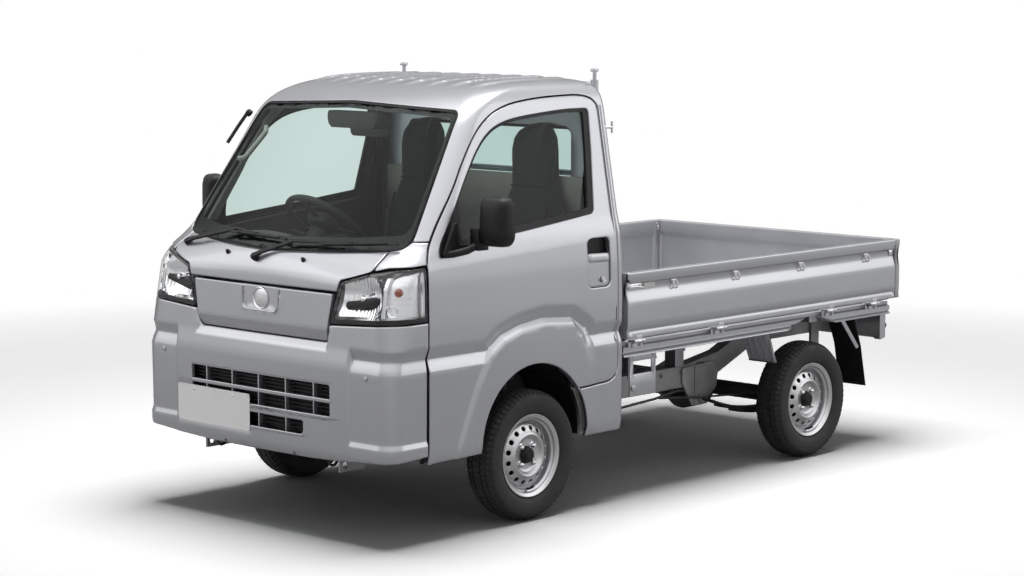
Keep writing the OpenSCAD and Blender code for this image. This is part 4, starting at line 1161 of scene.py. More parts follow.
# hood and the panels at its corners
by_lamp = rounded_line([(300, 976), (429, 976), (446, 1021), (500, 1036)], [0, 5, 12, 0])[1:]
by_pillar = rounded_line([(500, 1036), (585, 1062), (573, 1128), (500, 1123)], [0, 26, 5, 0])[1:]
hood = np.concatenate([[(0, 976), (200, 976)], by_lamp, by_pillar, [(400, 1117), (200, 1106), (0, 1101)]])
make("hood_panel", [patch([on_front(both_halves(hood))], skin, 14, rows=climb([1030, 1040, 1052]))],
     PAINT, "chassis", ("front_panel",))
BODY_GAP = gap_line(3)
FRONT_EDGE = BODY_GAP[: np.argmax(BODY_GAP[:, 1] > 1690)]


def gap_at(z):
    """Places on the body side of the gap in front of the door."""
    z = np.asarray(z, float)
    y = np.interp(z, FRONT_EDGE[:, 1], FRONT_EDGE[:, 0])
    return np.stack([run_of_y(y, z), climb(z)], 1)


SCREEN_SIDE = offset(SCREEN, 5)
SCREEN_SIDE = SCREEN_SIDE[(SCREEN_SIDE[:, 0] >= 0)]
SCREEN_SIDE = SCREEN_SIDE[np.argsort(np.arctan2(SCREEN_SIDE[:, 1] - 1400, SCREEN_SIDE[:, 0]))]
corner_low = SCREEN_SIDE[(SCREEN_SIDE[:, 1] < 1162) & (SCREEN_SIDE[:, 0] > 580)]
corner_in = rounded_line([(640, 1076), (591, 1063), (579, 1129), (585, 1130)], [0, 8, 4, 0])
corner = np.concatenate([on_front(corner_in), on_front(corner_low), on_front([(643.5, 1163)]),
                         gap_at(np.linspace(1163, 1090, 8)), gap_at([1084.5]), on_front([(700, 1078.5)])])
make("corner_panels", [patch([corner[::-1]], skin, 12)], PAINT, "chassis", both=True)


# Cab shell: pillars, roof and quarters
def run_all(t):
    """Run from the front's middle round to the back wall's middle."""
    q = plan(t)
    return q["l1"] + q["l2"] + q["l3"] + q["l4"] + q["w"] - q["rb"]


def roof_cap():
    """Left half of the roof inside the shell's top edge."""
    n = int(math.ceil(run_all(np.array(T_MAX)) / 14))
    s = np.linspace(run_all(np.array(T_MAX)), 0, n + 1)
    edge = skin(s, np.full(n + 1, T_MAX), 0)[:, :2]
    centre = np.stack([np.zeros(60), np.linspace(edge[-1][1], edge[0][1], 60)], 1)[1:-1]

    def top(x, y, d):
        z = np.full_like(x, TAB[-1, 0])
        return np.stack([x, y, z + roof_rib(x, y, z)], -1)

    lines = [np.stack([np.full(60, k + g), np.linspace(-1040, -400, 60)], 1) for k in RIBS
             for g in (-29, -21, -13, 13, 21, 29) if 3 < k + g < 370]
    return patch([np.concatenate([edge, centre])], top, 14, ((0, 0), (1.5, 0)), lines)


def shell_part():
    """Left half of the cab's outer skin and of its lining."""
    upper = SCREEN_SIDE[SCREEN_SIDE[:, 1] > 1172]
    back = np.arange(1650, 300, -24.0)[::-1]
    skirt = climb(1650.0)
    tt = np.linspace(skirt, T_MAX, 24)
    side = dense(BODY_GAP[(BODY_GAP[:, 1] > 1171) | (BODY_GAP[:, 0] > -1000)], 9, False)
    foot = arch(ARCH_R + 3, 35.6, 0, 14)
    low = [(AXLE_F + ARCH_R + 3, 306.0), (BACK - 40, 306.0)]
    level = np.stack([np.linspace(run_end(1650.0), run_all(skirt), 40)[1:-1], np.full(38, skirt)], 1)
    rim = np.stack([np.linspace(run_all(T_MAX), 0, 120)[1:-1], np.full(118, T_MAX)], 1)
    loop = np.concatenate([
        [(0, climb(1678.0))], on_front(upper[::-1]), on_front([(643.5, 1168)]), gap_at([1168]),
        on_side(side), on_side(foot), on_side(low), np.stack([run_end(back), climb(back)], 1), level,
        np.stack([run_all(tt), tt], 1), rim, [(0, T_MAX)]])

    def joined(s, t):
        return ((s < 0.01) | (t > T_MAX - 0.01) | (s > run_all(t) - 0.01)).astype(float)

    lines = [np.stack([np.linspace(0, 900, 300), np.full(300, climb(z))], 1)
             for z in (1742.0, 1752.0, 1758.0)]
    top = np.arange(climb(1600.0), T_MAX - 2, 2.5)
    up = np.concatenate([np.arange(climb(320.0), climb(1600.0), 10.0), top])
    q = plan(up)
    for share in np.linspace(0, 1, 9):
        lines.append(np.stack([q["l1"] + q["l2"] + q["l3"] + share * q["l4"], up], 1))
    q = plan(top)
    for share in np.linspace(0, 1, 13):
        lines.append(np.stack([q["l1"] + share * q["l2"], top], 1))
    outer = patch([loop], skin, 14, points=lines, flat=joined)
    lining = patch([loop], lambda s, t, d: skin(s, t, 34 - 0.3 * d, True), 30, ((0, 16), (0, 2), (4, 0)),
                   flat=joined, flip=True)
    return outer, lining


shell, lining = shell_part()
make("cab_shell", [shell, roof_cap()], PAINT, "chassis", ("cab_sides", "roof"), 62, 0.3, both=True)
make("cab_lining", [lining, rbox((-300, -900, 1722), (300, -420, 1728), 2)], LINER, "chassis",
     both=True, weld=0.3)
seal_line = gap_line(-4)
seal_run = on_side(dense(seal_line, 30, False))
make("door_seals", [tube(skin(seal_run[:, 0], seal_run[:, 1], 38.0), 8, 8)], RUBBER_AND_SLOT_SHADE, "chassis",
     both=True)
arch_line = on_side(arch(ARCH_R + 2, 30, 0, 12))
lip = tube(skin(arch_line[:, 0], arch_line[:, 1], 10.0), 4, 6)
make("arch_lips", [lip], RUBBER_AND_SLOT_SHADE, "chassis", both=True)


# Liners over the front wheels, with a slot at the top for the damper
LINER_R, LINER_SHEET = ARCH_R + 10, 3.0
LINER_IN, LINER_OUT = 414.0, HALF - 66
DAMPER_X, DAMPER_TURN = 612.0, 11.0


def liner_sheet(a0, a1, x0, x1):
    n = max(3, int((a1 - a0) / 4))
    loop = np.concatenate([arch(LINER_R, a0, a1, n), arch(LINER_R + LINER_SHEET, a1, a0, n)])
    return prism(loop, "x", x0, x1, 0.6, 1)


liners = [liner_sheet(-4, 90 - DAMPER_TURN, LINER_IN, LINER_OUT),
          liner_sheet(90 + DAMPER_TURN, 184, LINER_IN, LINER_OUT),
          liner_sheet(90 - DAMPER_TURN, 90 + DAMPER_TURN, DAMPER_X, LINER_OUT)]
for turn in (20, 45, 70, 110, 135, 160):
    y, z = arch(LINER_R, turn, turn, 1)[0]
    liners.append(tube([(LINER_IN + 12, y, z), (LINER_OUT - 12, y, z)], 4, 8))
make("arch_liners", liners, BLACK, "chassis", both=True)


# Glass
SHEET = ((0, 4), (0, 0.8), (0.8, 0), (6, 0))
make("windscreen", [patch([on_front(offset(SCREEN, -2))], sunk(6), 16, SHEET)], GLASS, "chassis",
     ("windows",))
frit_in = rounded_loop([(-615, 1190, 40), (-400, 1172, 200), (0, 1158, 400), (400, 1172, 200),
                        (615, 1190, 40), (550, 1625, 30), (0, 1649, 500), (-550, 1625, 30)], 8)
make("windscreen_border",
     [patch([on_front(offset(SCREEN, -1)), on_front(frit_in)], sunk(10), 16, ((0, 1), (0, 0), (2, 0)))],
     GLOSS_BLACK, "chassis")
make("windscreen_seal", [patch([on_front(offset(SCREEN, 3.5)), on_front(offset(SCREEN, -5))], sunk(3.5), 16,
                               ((0, 12), (0, 1.2), (1.2, 0), (2.4, 0)))], RUBBER_AND_SLOT_SHADE, "chassis")
BACK_PANE = rounded_box(-480, 1180, 480, 1560, 40)
make("back_glass", [prism(offset(BACK_PANE, -1), "y", BACK_WALL - 18, BACK_WALL - 13, 1, 1)], GLASS,
     "chassis")
ring = offset(BACK_PANE, -6)
make("back_seal", [tube(np.stack([ring[:, 0], np.full(len(ring), BACK_WALL - 16), ring[:, 1]], 1), 9, 10,
                        True)], RUBBER_AND_SLOT_SHADE, "chassis")
pane = patch([on_side(dense(offset(WINDOW, -3), 9))], sunk(16, False), 14, SHEET)
sash = patch([on_side(dense(offset(WINDOW, 1), 9)), on_side(dense(PANE, 9))], sunk(5, False), 12,
             ((0, 12), (0, 1.5), (1.5, 0), (4, 0)))
for side, flip in SIDES:
    body = "door_%s_body" % side
    make("door_pane_" + side, [flip(pane)], GLASS, body, ("door_glass_" + side,))
    make("window_sash_" + side, [flip(sash)], BLACK, body)


# Lamps
LAMP_DEEP, LAMP_SHALLOW = 72.0, 44.0


def lamp_pieces():
    """Pieces of the left headlamp."""
    whole = lamp_outline(1, 1, 1, 1)
    hole = lamp_outline(12, 19, 11, 4, 8)

    def house_skin(s, t, d):
        deep = LAMP_DEEP - LAMP_SHALLOW * smooth(610, 690, skin(s, t, 0, True)[:, 0])
        return skin(s, t, deep * (1 + d), True)

    house = patch([whole], house_skin, 14, ((0, -0.84), (0, -0.92), (1, -0.17), (4, -0.03), (10, 0)))
    border = patch([whole, hole], sunk(4), 14, ((0, 8), (0, 0.8), (0.8, 0), (3, 0)))
    lens = patch([whole], sunk(0), 14, ((0, 8), (0, 2), (0.8, 0.5), (2.4, 0), (6, 0)))
    a = np.radians(np.linspace(-62, 62, 25))
    bowl = np.concatenate([[(438, 882), (456, 1006)], [(560, 1036)],
                           np.stack([548 + 100 * np.cos(a), 955 + 100 * np.sin(a)], 1)[::-1], [(560, 882)]])

    def dish(s, t, d):
        p = skin(s, t, 0, True)
        r = np.hypot(p[:, 0] - 545, p[:, 2] - 950)
        flute = np.abs((p[:, 0] / 17.0) % 1 - 0.5) * 7 * smooth(30, 70, r)
        return skin(s, t, d + 62 + flute - 50 * np.minimum((r / 112) ** 2, 1.15), True)

    bowl = patch([on_front(bowl)], dish, 4.25, ((0, 10), (0, 0), (2, 0)))
    y = front_at(540.0, 940.0, 30)[1]
    rib = []
    for k in range(15):
        r, along = 14 - 0.2 * k, 11.0 * k
        rib += [(r, along), (r + 2.5, along + 3), (r + 2.5, along + 7), (r, along + 10)]
    shield = lathe([(0.1, 0)] + rib + [(8, 166), (0.1, 170)], (462, y, 922), (1.0, 0.12, 0.17), 28)
    bulb = lathe([(0.1, 30), (9, 28), (14, 20), (15, 10), (13, 0), (10, -8)], front_at(545.0, 955.0, 52),
                 (0, -1, 0), 24)
    post = patch([on_front(strip([(652, 886), (667, 886), (667, 1040), (652, 1038)], 8))], sunk(14), 10,
                 ((0, 46), (0, 2), (2, 0), (4, 0)))
    amber_bulb = lathe([(0.1, 30), (10, 27), (16, 18), (17, 6), (13, -6), (11, -24)],
                       front_at(704, 984, 34), (0.55, -0.83, 0), 24)
    cup = lathe([(22, 14), (20, 12), (17, -10), (12, -20), (0.1, -24)], front_at(694.0, 914.0, 26),
                (0.5, -0.86, 0), 28)
    ribs = []
    for z in (940, 962, 1006, 1028, 1048):
        s1, s0 = run_of_y(LAMP_BACK_Y - 8, z), run_of_x(672.0, z)
        ribs.append(patch([np.stack([[s0, s1, s1, s0], climb([z - 2, z - 2, z + 2, z + 2])], 1)], sunk(7),
                          14, ((0, 3), (0, 0.4), (1, 0))))
    return house, border, lens, bowl, shield, bulb, post, amber_bulb, cup, ribs


house, border, lens, bowl, shield, bulb, post, amber_bulb, cup, ribs = lamp_pieces()
make("lamp_house", [house], LAMP_GREY, "chassis", both=True)
make("lamp_border", [border], GLOSS_BLACK, "chassis", both=True)
make("lamp_lens", [lens] + ribs, LENS, "chassis", ("headlamps",), both=True)
make("lamp_bowl", [bowl, post, bulb, cup], CHROME, "chassis", both=True)
make("lamp_shield", [shield], BLACK, "chassis", both=True)
make("lamp_amber", [amber_bulb], AMBER, "chassis", both=True)


# Wheels
def tyre_part():
    """Tyre about the X axis with block tread, outer face to +X."""
    half = curve([(156, 47), (170, 51), (175, 58), (183, 64), (196, 69.5), (212, 72.2), (226, 72.4),
                  (238, 70.6), (247, 66.5)], 3)
    lateral = np.array([63.5, 61, 58, 55, 52, 49, 46.5, 45.5, 42, 40.8, 38, 35, 32, 29, 26, 23, 21.8, 18.2,
                        17, 14, 10.5, 7, 3.5])
    lateral = np.concatenate([lateral, [0], -lateral[::-1]])
    crown = 265 - 0.0000016 * np.abs(lateral) ** 4 * 0.6 - np.maximum(np.abs(lateral) - 44, 0) ** 2 * 0.018
    sect = np.concatenate([half, np.stack([crown, lateral], 1), half[::-1] * (1, -1)])
    blocks, fine = 66, 6
    n = blocks * fine
    a = np.arange(n) * 2 * math.pi / n
    r = np.repeat(sect[None, :, 0], n, 0)
    h = np.repeat(sect[None, :, 1], n, 0)
    phase = np.arange(n)[:, None] % fine
    half_turn = (np.arange(n)[:, None] + fine // 2) % fine
    ah = np.abs(h)
    on_tread = r > 252
    cut = np.zeros_like(r)
    for groove, wide in ((20.0, 2.4), (43.8, 2.4)):
        cut = np.maximum(cut, 7.5 * (np.abs(ah - groove) < wide))
    cut = np.maximum(cut, 6.0 * (np.where(h > 0, phase, half_turn) < 2) * (ah > 46))
    cut = np.maximum(cut, 4.5 * ((phase < 1) & (ah > 22) & (ah < 42)))
    cut = np.maximum(cut, 3.5 * ((half_turn < 1) & (ah < 15)))
    shoulder = (r > 240) & ~on_tread
    cut = cut * on_tread + 2.2 * shoulder * (np.where(h > 0, phase, half_turn) < 2)
    for ring, high in ((190.0, 0.9), (231.0, 0.9)):
        h = h + np.sign(h) * high * np.exp(-((r - ring) / 2.2) ** 2) * (ah > 60) * (ah < 71.6)
    r = r - cut
    p = np.stack([h, r * np.cos(a)[:, None], r * np.sin(a)[:, None]], -1)
    v, f = grid(p)
    return v, [q[::-1] for q in f]


VENTS = 16
DISC = curve([(133, 13), (130, 20), (124.5, 26.5), (112, 34), (100, 40), (93, 45), (87, 48.5), (82, 48),
              (76, 42), (68, 33), (60, 29.5), (52, 28.5), (34, 28)], 4)
DISC_V = np.concatenate([[0], np.cumsum(np.hypot(*np.diff(DISC, axis=0).T))])


def disc_part():
    """Wheel disc with a ring of vents, laid out as a strip and wrapped round the axle."""
    length = 2 * math.pi * 111
    slope = unit(np.gradient(DISC, axis=0))
    at = float(np.interp(-111.5, -DISC[:, 0], DISC_V))

    def wrap(u, v, d):
        r, h = np.interp(v, DISC_V, DISC[:, 0]), np.interp(v, DISC_V, DISC[:, 1])
        nr, nh = np.interp(v, DISC_V, slope[:, 1]), np.interp(v, DISC_V, -slope[:, 0])
        r, h = r - nr * d, h - nh * d
        return np.stack([h, r * np.cos(u / 111), r * np.sin(u / 111)], -1)

    a = np.linspace(0, 2 * math.pi, 20, endpoint=False)
    holes = [np.stack([(k + 0.5) * length / VENTS + 10.6 * np.cos(a), at + 10.6 * np.sin(a)], 1)
             for k in range(VENTS)]
    box = [(0, 0), (length, 0), (length, DISC_V[-1]), (0, DISC_V[-1])]

    def plain(u, v):
        k = ((v < 0.01) | (v > DISC_V[-1] - 0.01) | (u < 0.01) | (u > length - 0.01))
        return k.astype(float)

    rows = [np.stack([np.linspace(3, length - 3, 120), np.full(120, v)], 1) for v in DISC_V[2:-2]]
    rows = [p for p in rows if abs(p[0][1] - at) > 16]
    return patch([box] + holes, wrap, 6.0, ((0, 7), (0, 1.2), (0.5, 0.4), (1.4, 0)), rows, plain)


def wheel_parts():
    """Rim, dark hub pieces and nuts of a left wheel, about the X axis."""
    flange = curve([(133, 13), (137, 11), (140, 16), (141, 30), (143, 37), (149, 41), (151, 47), (154, 52),
                    (160, 54.5), (165, 57.5), (168, 57.8), (169, 55), (168.5, 51), (163, 49.5), (156, 47)],
                   3)
    barrel = [(140, 14), (134, 8), (131, -20), (140, -30), (147, -40), (150, -52), (165, -58), (168.5, -57),
              (168, -52)]
    axis = (1, 0, 0)
    rim = [disc_part(), lathe(flange, (0, 0, 0), axis, 112), lathe(barrel, (0, 0, 0), axis, 72)]
    hub = [lathe([(36, 27), (36, 30), (33.5, 33), (31, 44), (29, 46.5), (24, 47.5), (22, 51), (12, 52),
                  (0.1, 52)], (0, 0, 0), axis, 48)]
    hub.append(lathe([(34, 6), (122, 4), (126, 0), (126, -30), (60, -34)], (0, 0, 0), axis, 64))
    nuts = []
    for k in range(4):
        a = math.radians(45 + 90 * k)
        spot = np.array((27.5, 50 * math.cos(a), 50 * math.sin(a)))
        nuts += [lathe([(15.5, 0), (15, 2.5), (12, 3.5), (10.5, 4)], spot, axis, 24),
                 lathe([(10.5, 2), (10.5, 13), (9, 15)], spot, axis, 6),
                 lathe([(9, 14.6), (7.5, 18), (4, 20.5), (0.1, 21.5)], spot, axis, 20)]
        hub.append(lathe([(4.5, 0), (4.5, 8), (3, 9), (0.1, 9.4)],
                         (44, 18 * math.cos(a + 0.78), 18 * math.sin(a + 0.78)), axis, 6))
    stem = tube(rounded_line([(34, 0, -137), (47, 0, -137), (58, 0, -131), (64, 0, -127)], 8), 4.2, 10)
    cap = lathe([(0.1, 8), (4.8, 7), (5.2, 1), (5.2, -8), (4, -9)], (64, 0, -127), (0.83, 0, 0.55), 14)
    return rim, hub + [stem, cap], nuts


tyre = tyre_part()
rim, hub, nuts = wheel_parts()
TRACK_F, TRACK_R = 1305.0, 1300.0
WHEELS = [(end, y, track, side, face)
          for end, y, track in (("front", AXLE_F, TRACK_F), ("rear", AXLE_R, TRACK_R))
          for side, face in SIDES]
for end, y, track, side, face in WHEELS:
    centre = (track / 2 if side == "left" else -track / 2, y, AXLE_Z)
    label = end + "_" + side
    body = "wheel_" + label
    make("tyre_tread_" + label, [moved(face(tyre), centre)], TYRE, body, ("tyre_" + label,),
         angle=24)
    make("wheel_disc_" + label, [moved(face(p), centre) for p in rim], WHEEL, body,
         ("rim_" + label,), weld=0.05)
    make("wheel_hub_" + label, [moved(face(p), centre) for p in hub], BLACK, body)
    make("wheel_nuts_" + label, [moved(face(p), centre) for p in nuts], STEEL, body)


# Gates
GATE_Z0, GATE_Z1 = 680.0, 958.0
GATE_FRONT, GATE_BACK, GATE_END = -300.5, 1653.5, 30.0
TAIL_Y, TAIL_HALF, REAR = 1691.5, 736.0, 1697.5
WALL = 32.0
HINGE_Z, HOOK_Z = 668.0, 899.0


def gate_tables():
    """Depth of a gate's outer and inner sheet by height, rounded off."""
    z = np.arange(GATE_Z0 - 20, GATE_Z1 + 20, 1.0)
    outer = np.interp(z, [680, 700, 707, 716, 722, 832, 842, 874, 880, 909, 914, 958],
                      [0, 0, 7, 7, 0, 0, 2, 13, 14, 14, 0.5, 0])
    inner = np.interp(z, [680, 696, 702, 888, 896, 958], [0, 0, 9, 9, 0, 0])
    k = np.exp(-0.5 * (np.arange(-8, 9) / 2.2) ** 2)
    k = k / k.sum()
    pad = [np.pad(a, 8, mode="edge") for a in (outer, inner)]
    return z, np.convolve(pad[0], k, "valid"), np.convolve(pad[1], k, "valid")


GATE_Z, GATE_OUT, GATE_IN = gate_tables()
GATE_ROWS = np.array([700, 703, 707, 711, 716, 719, 722, 726, 832, 838, 844, 856, 868, 874, 880, 905, 909,
                      912, 915, 920.0])
IN_ROWS = np.array([694, 698, 702, 706, 884, 888, 892, 896, 900.0])


def gate_sheets(a0, a1, out_at, in_at):
    """Outer and inner sheet of a gate, with functions that place them by (along, height, depth)."""
    box = rounded_loop([(a0, GATE_Z0, 3), (a1, GATE_Z0, 3), (a1, GATE_Z1, 5), (a0, GATE_Z1, 5)], 3)
    rings = ((0, 16), (0, 4), (1.2, 1.3), (4, 0), (8, 0))

    def outer(a, z, d):
        return out_at(a, z, np.interp(z, GATE_Z, GATE_OUT) + d)

    def inner(a, z, d):
        edge = np.minimum(a - a0, a1 - a)
        return in_at(a, z, np.interp(z, GATE_Z, GATE_IN) * smooth(GATE_END, GATE_END + 10, edge) + d)

    ends = [a0 + GATE_END + d for d in (-1, 5, 11)] + [a1 - GATE_END - d for d in (-1, 5, 11)]
    walls = [np.stack([np.full(30, q), np.linspace(GATE_Z0 + 10, GATE_Z1 - 10, 30)], 1) for q in ends]
    return (patch([box], outer, 22, rings, rows=GATE_ROWS),
            patch([box], inner, 22, rings, walls, rows=IN_ROWS, flip=True))


def place(f):
    """A placing function from three coordinates given as arrays."""
    return lambda a, z, d: np.stack(np.broadcast_arrays(*f(a, z, d)), -1)


side_out, side_in = gate_sheets(GATE_FRONT, GATE_BACK, place(lambda a, z, d: (HALF - d, a, z)),
                                place(lambda a, z, d: (HALF - WALL + d, a, z)))
tail_out, tail_in = gate_sheets(-TAIL_HALF, TAIL_HALF, place(lambda a, z, d: (-a, TAIL_Y - d, z)),
                                place(lambda a, z, d: (-a, TAIL_Y - WALL + d, z)))


def hinge_leaf():
    """Strap, barrel and bolts of a gate's hinge, at the pin."""
    strap = prism(rounded_loop([(-19, 4, 2), (19, 4, 2), (17, 25, 6), (-17, 25, 6)]), "x", 1, 3.2, 1, 1)
    barrel = lathe([(5.2, -19), (8.2, -19), (8.8, -18), (8.8, 18), (8.2, 19), (5.2, 19)], (0, 0, 0),
                   (0, 1, 0), 24)
    return [strap, barrel] + [q for y in (-10, 10) for q in bolt((3.0, y, 18), (1, 0, 0), 3.6, 3)]


def rope_hook(place):
    """Plate with two curled wire horns."""
    x, y, z = place
    parts = [rbox((x - 1, y - 17, z - 9), (x + 3, y + 17, z + 9), 1.5)]
    for k in (-1, 1):
        parts.append(tube(rounded_line([(x + 1, y + 9 * k, z + 4), (x + 9, y + 11 * k, z + 3),
                                        (x + 11, y + 13 * k, z - 14), (x + 11, y + 14 * k, z - 25),
                                        (x + 4, y + 15 * k, z - 30)], 6), 2.8, 8))
    parts.append(tube(rounded_line([(x + 8, y - 11, z + 3), (x + 11, y, z + 6), (x + 8, y + 11, z + 3)], 6),
                      2.6, 8))
    return parts


HINGE_Y = GATE_FRONT + (GATE_BACK - 4 - GATE_FRONT) * np.array([0.0385, 0.323, 0.7415, 0.918])
HOOK_Y = (12, 441, 918, 1427)
side_steel = [moved(p, (HALF - 3, y, HINGE_Z)) for y in HINGE_Y for p in hinge_leaf()]
side_hooks = [p for y in HOOK_Y for p in rope_hook((HALF - 14, y, HOOK_Z))]
latch = [rbox((HALF - 14, -296, 884), (HALF - 8, -206, 910), 2),
         rbox((HALF - 9, -290, 889), (HALF - 2, -262, 906), 2.5),
         tube(rounded_line([(HALF - 6, -276, 898), (HALF - 3, -240, 897), (HALF - 3, -205, 892),
                            (HALF - 6, -190, 889)], 8), 4, 10)]
latch.append(rbox((HALF - 14, 1612, 884), (HALF - 8, 1640, 910), 2))
for y, z in ((-284, 897), (-252, 900), (-222, 900), (1626, 897)):
    latch += bolt((HALF - 8, y, z), (1, 0, 0), 4.5, 4)
reflector = [rbox((HALF - 13.4, -186, 882), (HALF - 11, -112, 907), 1)]
bumps = [rbox((HALF - 16, GATE_FRONT - 0.5, 918), (HALF - 2, GATE_FRONT + 14, 954), 4),
         rbox((HALF - 13.5, 1630, 882), (HALF - 10.5, 1651, 909), 1)]
inner_steel = []
for y in (GATE_FRONT + 14, GATE_BACK - 14):
    inner_steel += [rbox((HALF - WALL - 5, y - 9, 850), (HALF - WALL + 1, y + 9, 944), 2),
                    lathe([(7, -11), (8, -10), (8, 10), (7, 11), (0.1, 11.2)], (HALF - WALL - 7, y, 918),
                          (0, 0, 1), 18)]
for side, face in SIDES:
    body = "gate_%s_body" % side
    make("gate_panel_" + side, [face(side_out)], PAINT, body, ("gate_" + side,))
    # inner sheet in the paler deck paint: painted light on the gate's inside face
    make("gate_inside_" + side, [face(side_in)], DECK_AND_LIT_INSIDE, body)
    make("gate_steel_" + side, [face(p) for p in side_steel + side_hooks + latch + inner_steel], STEEL,
         body)
    make("gate_reflector_" + side, [face(p) for p in reflector], WHITE, body)
    make("gate_stop_" + side, [face(p) for p in bumps], RUBBER_AND_SLOT_SHADE, body)
make("tailgate_panel", [tail_out], PAINT, "tailgate_body", ("tailgate",))
# inner sheet in the paler deck paint: painted light on the tailgate's inside face
make("tailgate_inside", [tail_in], DECK_AND_LIT_INSIDE, "tailgate_body")
quarter = Matrix.Rotation(math.radians(90), 4, "Z")
tail_steel = [moved(p, (x, TAIL_Y - 3, HINGE_Z), quarter) for x in (-520, -170, 170, 520)
              for p in hinge_leaf()]
tail_steel += [moved(p, (x, TAIL_Y - 14, HOOK_Z), quarter) for x in (-480, 480)
               for p in rope_hook((0, 0, 0))]
tail_steel += [rbox((s * 734, TAIL_Y - 24, 886), (s * 700, TAIL_Y - 8, 908), 3) for s in (-1, 1)]
make("tailgate_steel", tail_steel, STEEL, "tailgate_body")
pin_ends = []
for y in HINGE_Y:
    for k in (-1, 1):
        pin_ends.append(lathe([(5, 0), (8.4, 0), (9, 1), (9, 11), (8.4, 12), (5, 12)],
                              (HALF - 3, y + 26 * k - 6, HINGE_Z), (0, 1, 0), 20))
        pin_ends.append(rbox((HALF - 30, y + 26 * k - 6, 655), (HALF - 6, y + 26 * k + 6, 667), 2))
        pin_ends.append(lathe([(0.1, 3.4), (6, 3), (7, 1.5), (7, 0)], (HALF - 3, y + 32 * k, HINGE_Z),
                              (0, k, 0), 18))
    pin_ends.append(rbox((HALF - 26, y - 46, 640), (HALF - 21, y + 46, 664), 2))
make("gate_pins", pin_ends, STEEL, "chassis", both=True)


# Wipers, mirrors, door handles and other small pieces of the cab
def wiper(pivot, elbow, b0, b1):
    """Arm from its pivot over an elbow to a blade that runs from b0 to b1."""
    pivot, elbow, b0, b1 = (np.array(p, float) for p in (pivot, elbow, b0, b1))
    n = unit(np.array((0.0, -0.78, 0.62)))
    mid = b0 + (b1 - b0) * 0.45
    path = np.array([pivot + n * 8, pivot + n * 12 + unit(elbow - pivot) * 45, elbow + n * 10, mid + n * 9])
    path = rounded_line(path, 40, 6)
    arm = sweep(path, [(-9, -3.5), (9, -3.5), (7, 4), (-7, 4)], up=n, scale=np.linspace(1.3, 0.7, len(path)))
    blade = sweep(np.linspace(b0, b1, 14), [(-6, 6), (6, 6), (4.5, 0), (1.2, -5), (-1.2, -5), (-4.5, 0)],
                  up=n)
    spine = sweep(np.linspace(b0 + (b1 - b0) * 0.12, b0 + (b1 - b0) * 0.88, 8) + n * 6,
                  [(-5, -2), (5, -2), (4, 5), (-4, 5)], up=n)
    clip = rbox(mid + (-14, -7, -2), mid + (14, 5, 14), 3)
    cap = lathe([(13, -14), (15, -6), (15, 6), (12, 12), (6, 15), (0.1, 15.5)], pivot, n, 24)
    return [arm, blade, spine, clip, cap]


make("wiper_set", wiper((-525, -1603, 1098), (-228, -1588, 1166), (-250, -1606, 1157), (96, -1622, 1150))
     + wiper((-40, -1671, 1077), (140, -1616, 1143), (250, -1619, 1138), (615, -1520, 1160)), BLACK,
     "chassis", ("wipers",))
nozzles = []
for x in (-222.0, 222.0):
    p = front_at(x, 1081.0, -1)
    nozzles += [lathe([(9, -4), (9, 3), (7, 7), (3, 10), (0.1, 10.5)], p, (0, -0.45, 0.9), 20),
                rbox(p + (-5, -10, 3), p + (5, 2, 11), 2.5)]
make("washer_nozzles", nozzles, BLACK, "chassis")


MIRROR_AT = (850, -1221, 1240)
MIRROR_FOLD, FOLD_X = 28.0, 790


def mirror_parts():
    """Head, glass and arm pieces of the left door's mirror."""
    base = rounded_loop([(-74, -97, 40), (74, -94, 46), (68, 96, 34), (-66, 96, 30)], 8)
    layers = ((0.0, 22), (0.90, 22), (0.92, 26), (0.97, 28), (1.0, 24), (1.0, 4), (0.985, -12), (0.94, -24),
              (0.84, -33), (0.66, -39), (0.4, -42), (0.0, -43))
    rings = [np.stack([base[:, 0] * k, np.full(len(base), y), base[:, 1] * k], 1) for k, y in layers]
    shell = moved(grid(np.stack(rings, 1)), MIRROR_AT)
    glass = moved(prism(base * 0.885, "y", 22.5, 24, 0.5, 1), MIRROR_AT)
    arm = tube(rounded_line([(712, -1372, 1116), (735, -1340, 1119), (752, -1285, 1128), (772, -1240, 1150),
                             (786, -1224, 1190), (800, -1220, 1215)], 26, 5), 15, 14)
    knee = bevelled(*rbox((748, -1262, 1128), (792, -1206, 1212), 0.1), 18, 4)
    foot = prism(behind(rounded_loop([(306, 1108, 8), (452, 1121, 12), (452, 1150, 10), (396, 1150, 10),
                                      (390, 1236, 4), (372, 1236, 4)])), "x", HALF - 24, HALF - 8, 4, 2)
    return shell, glass, [arm, knee, foot]


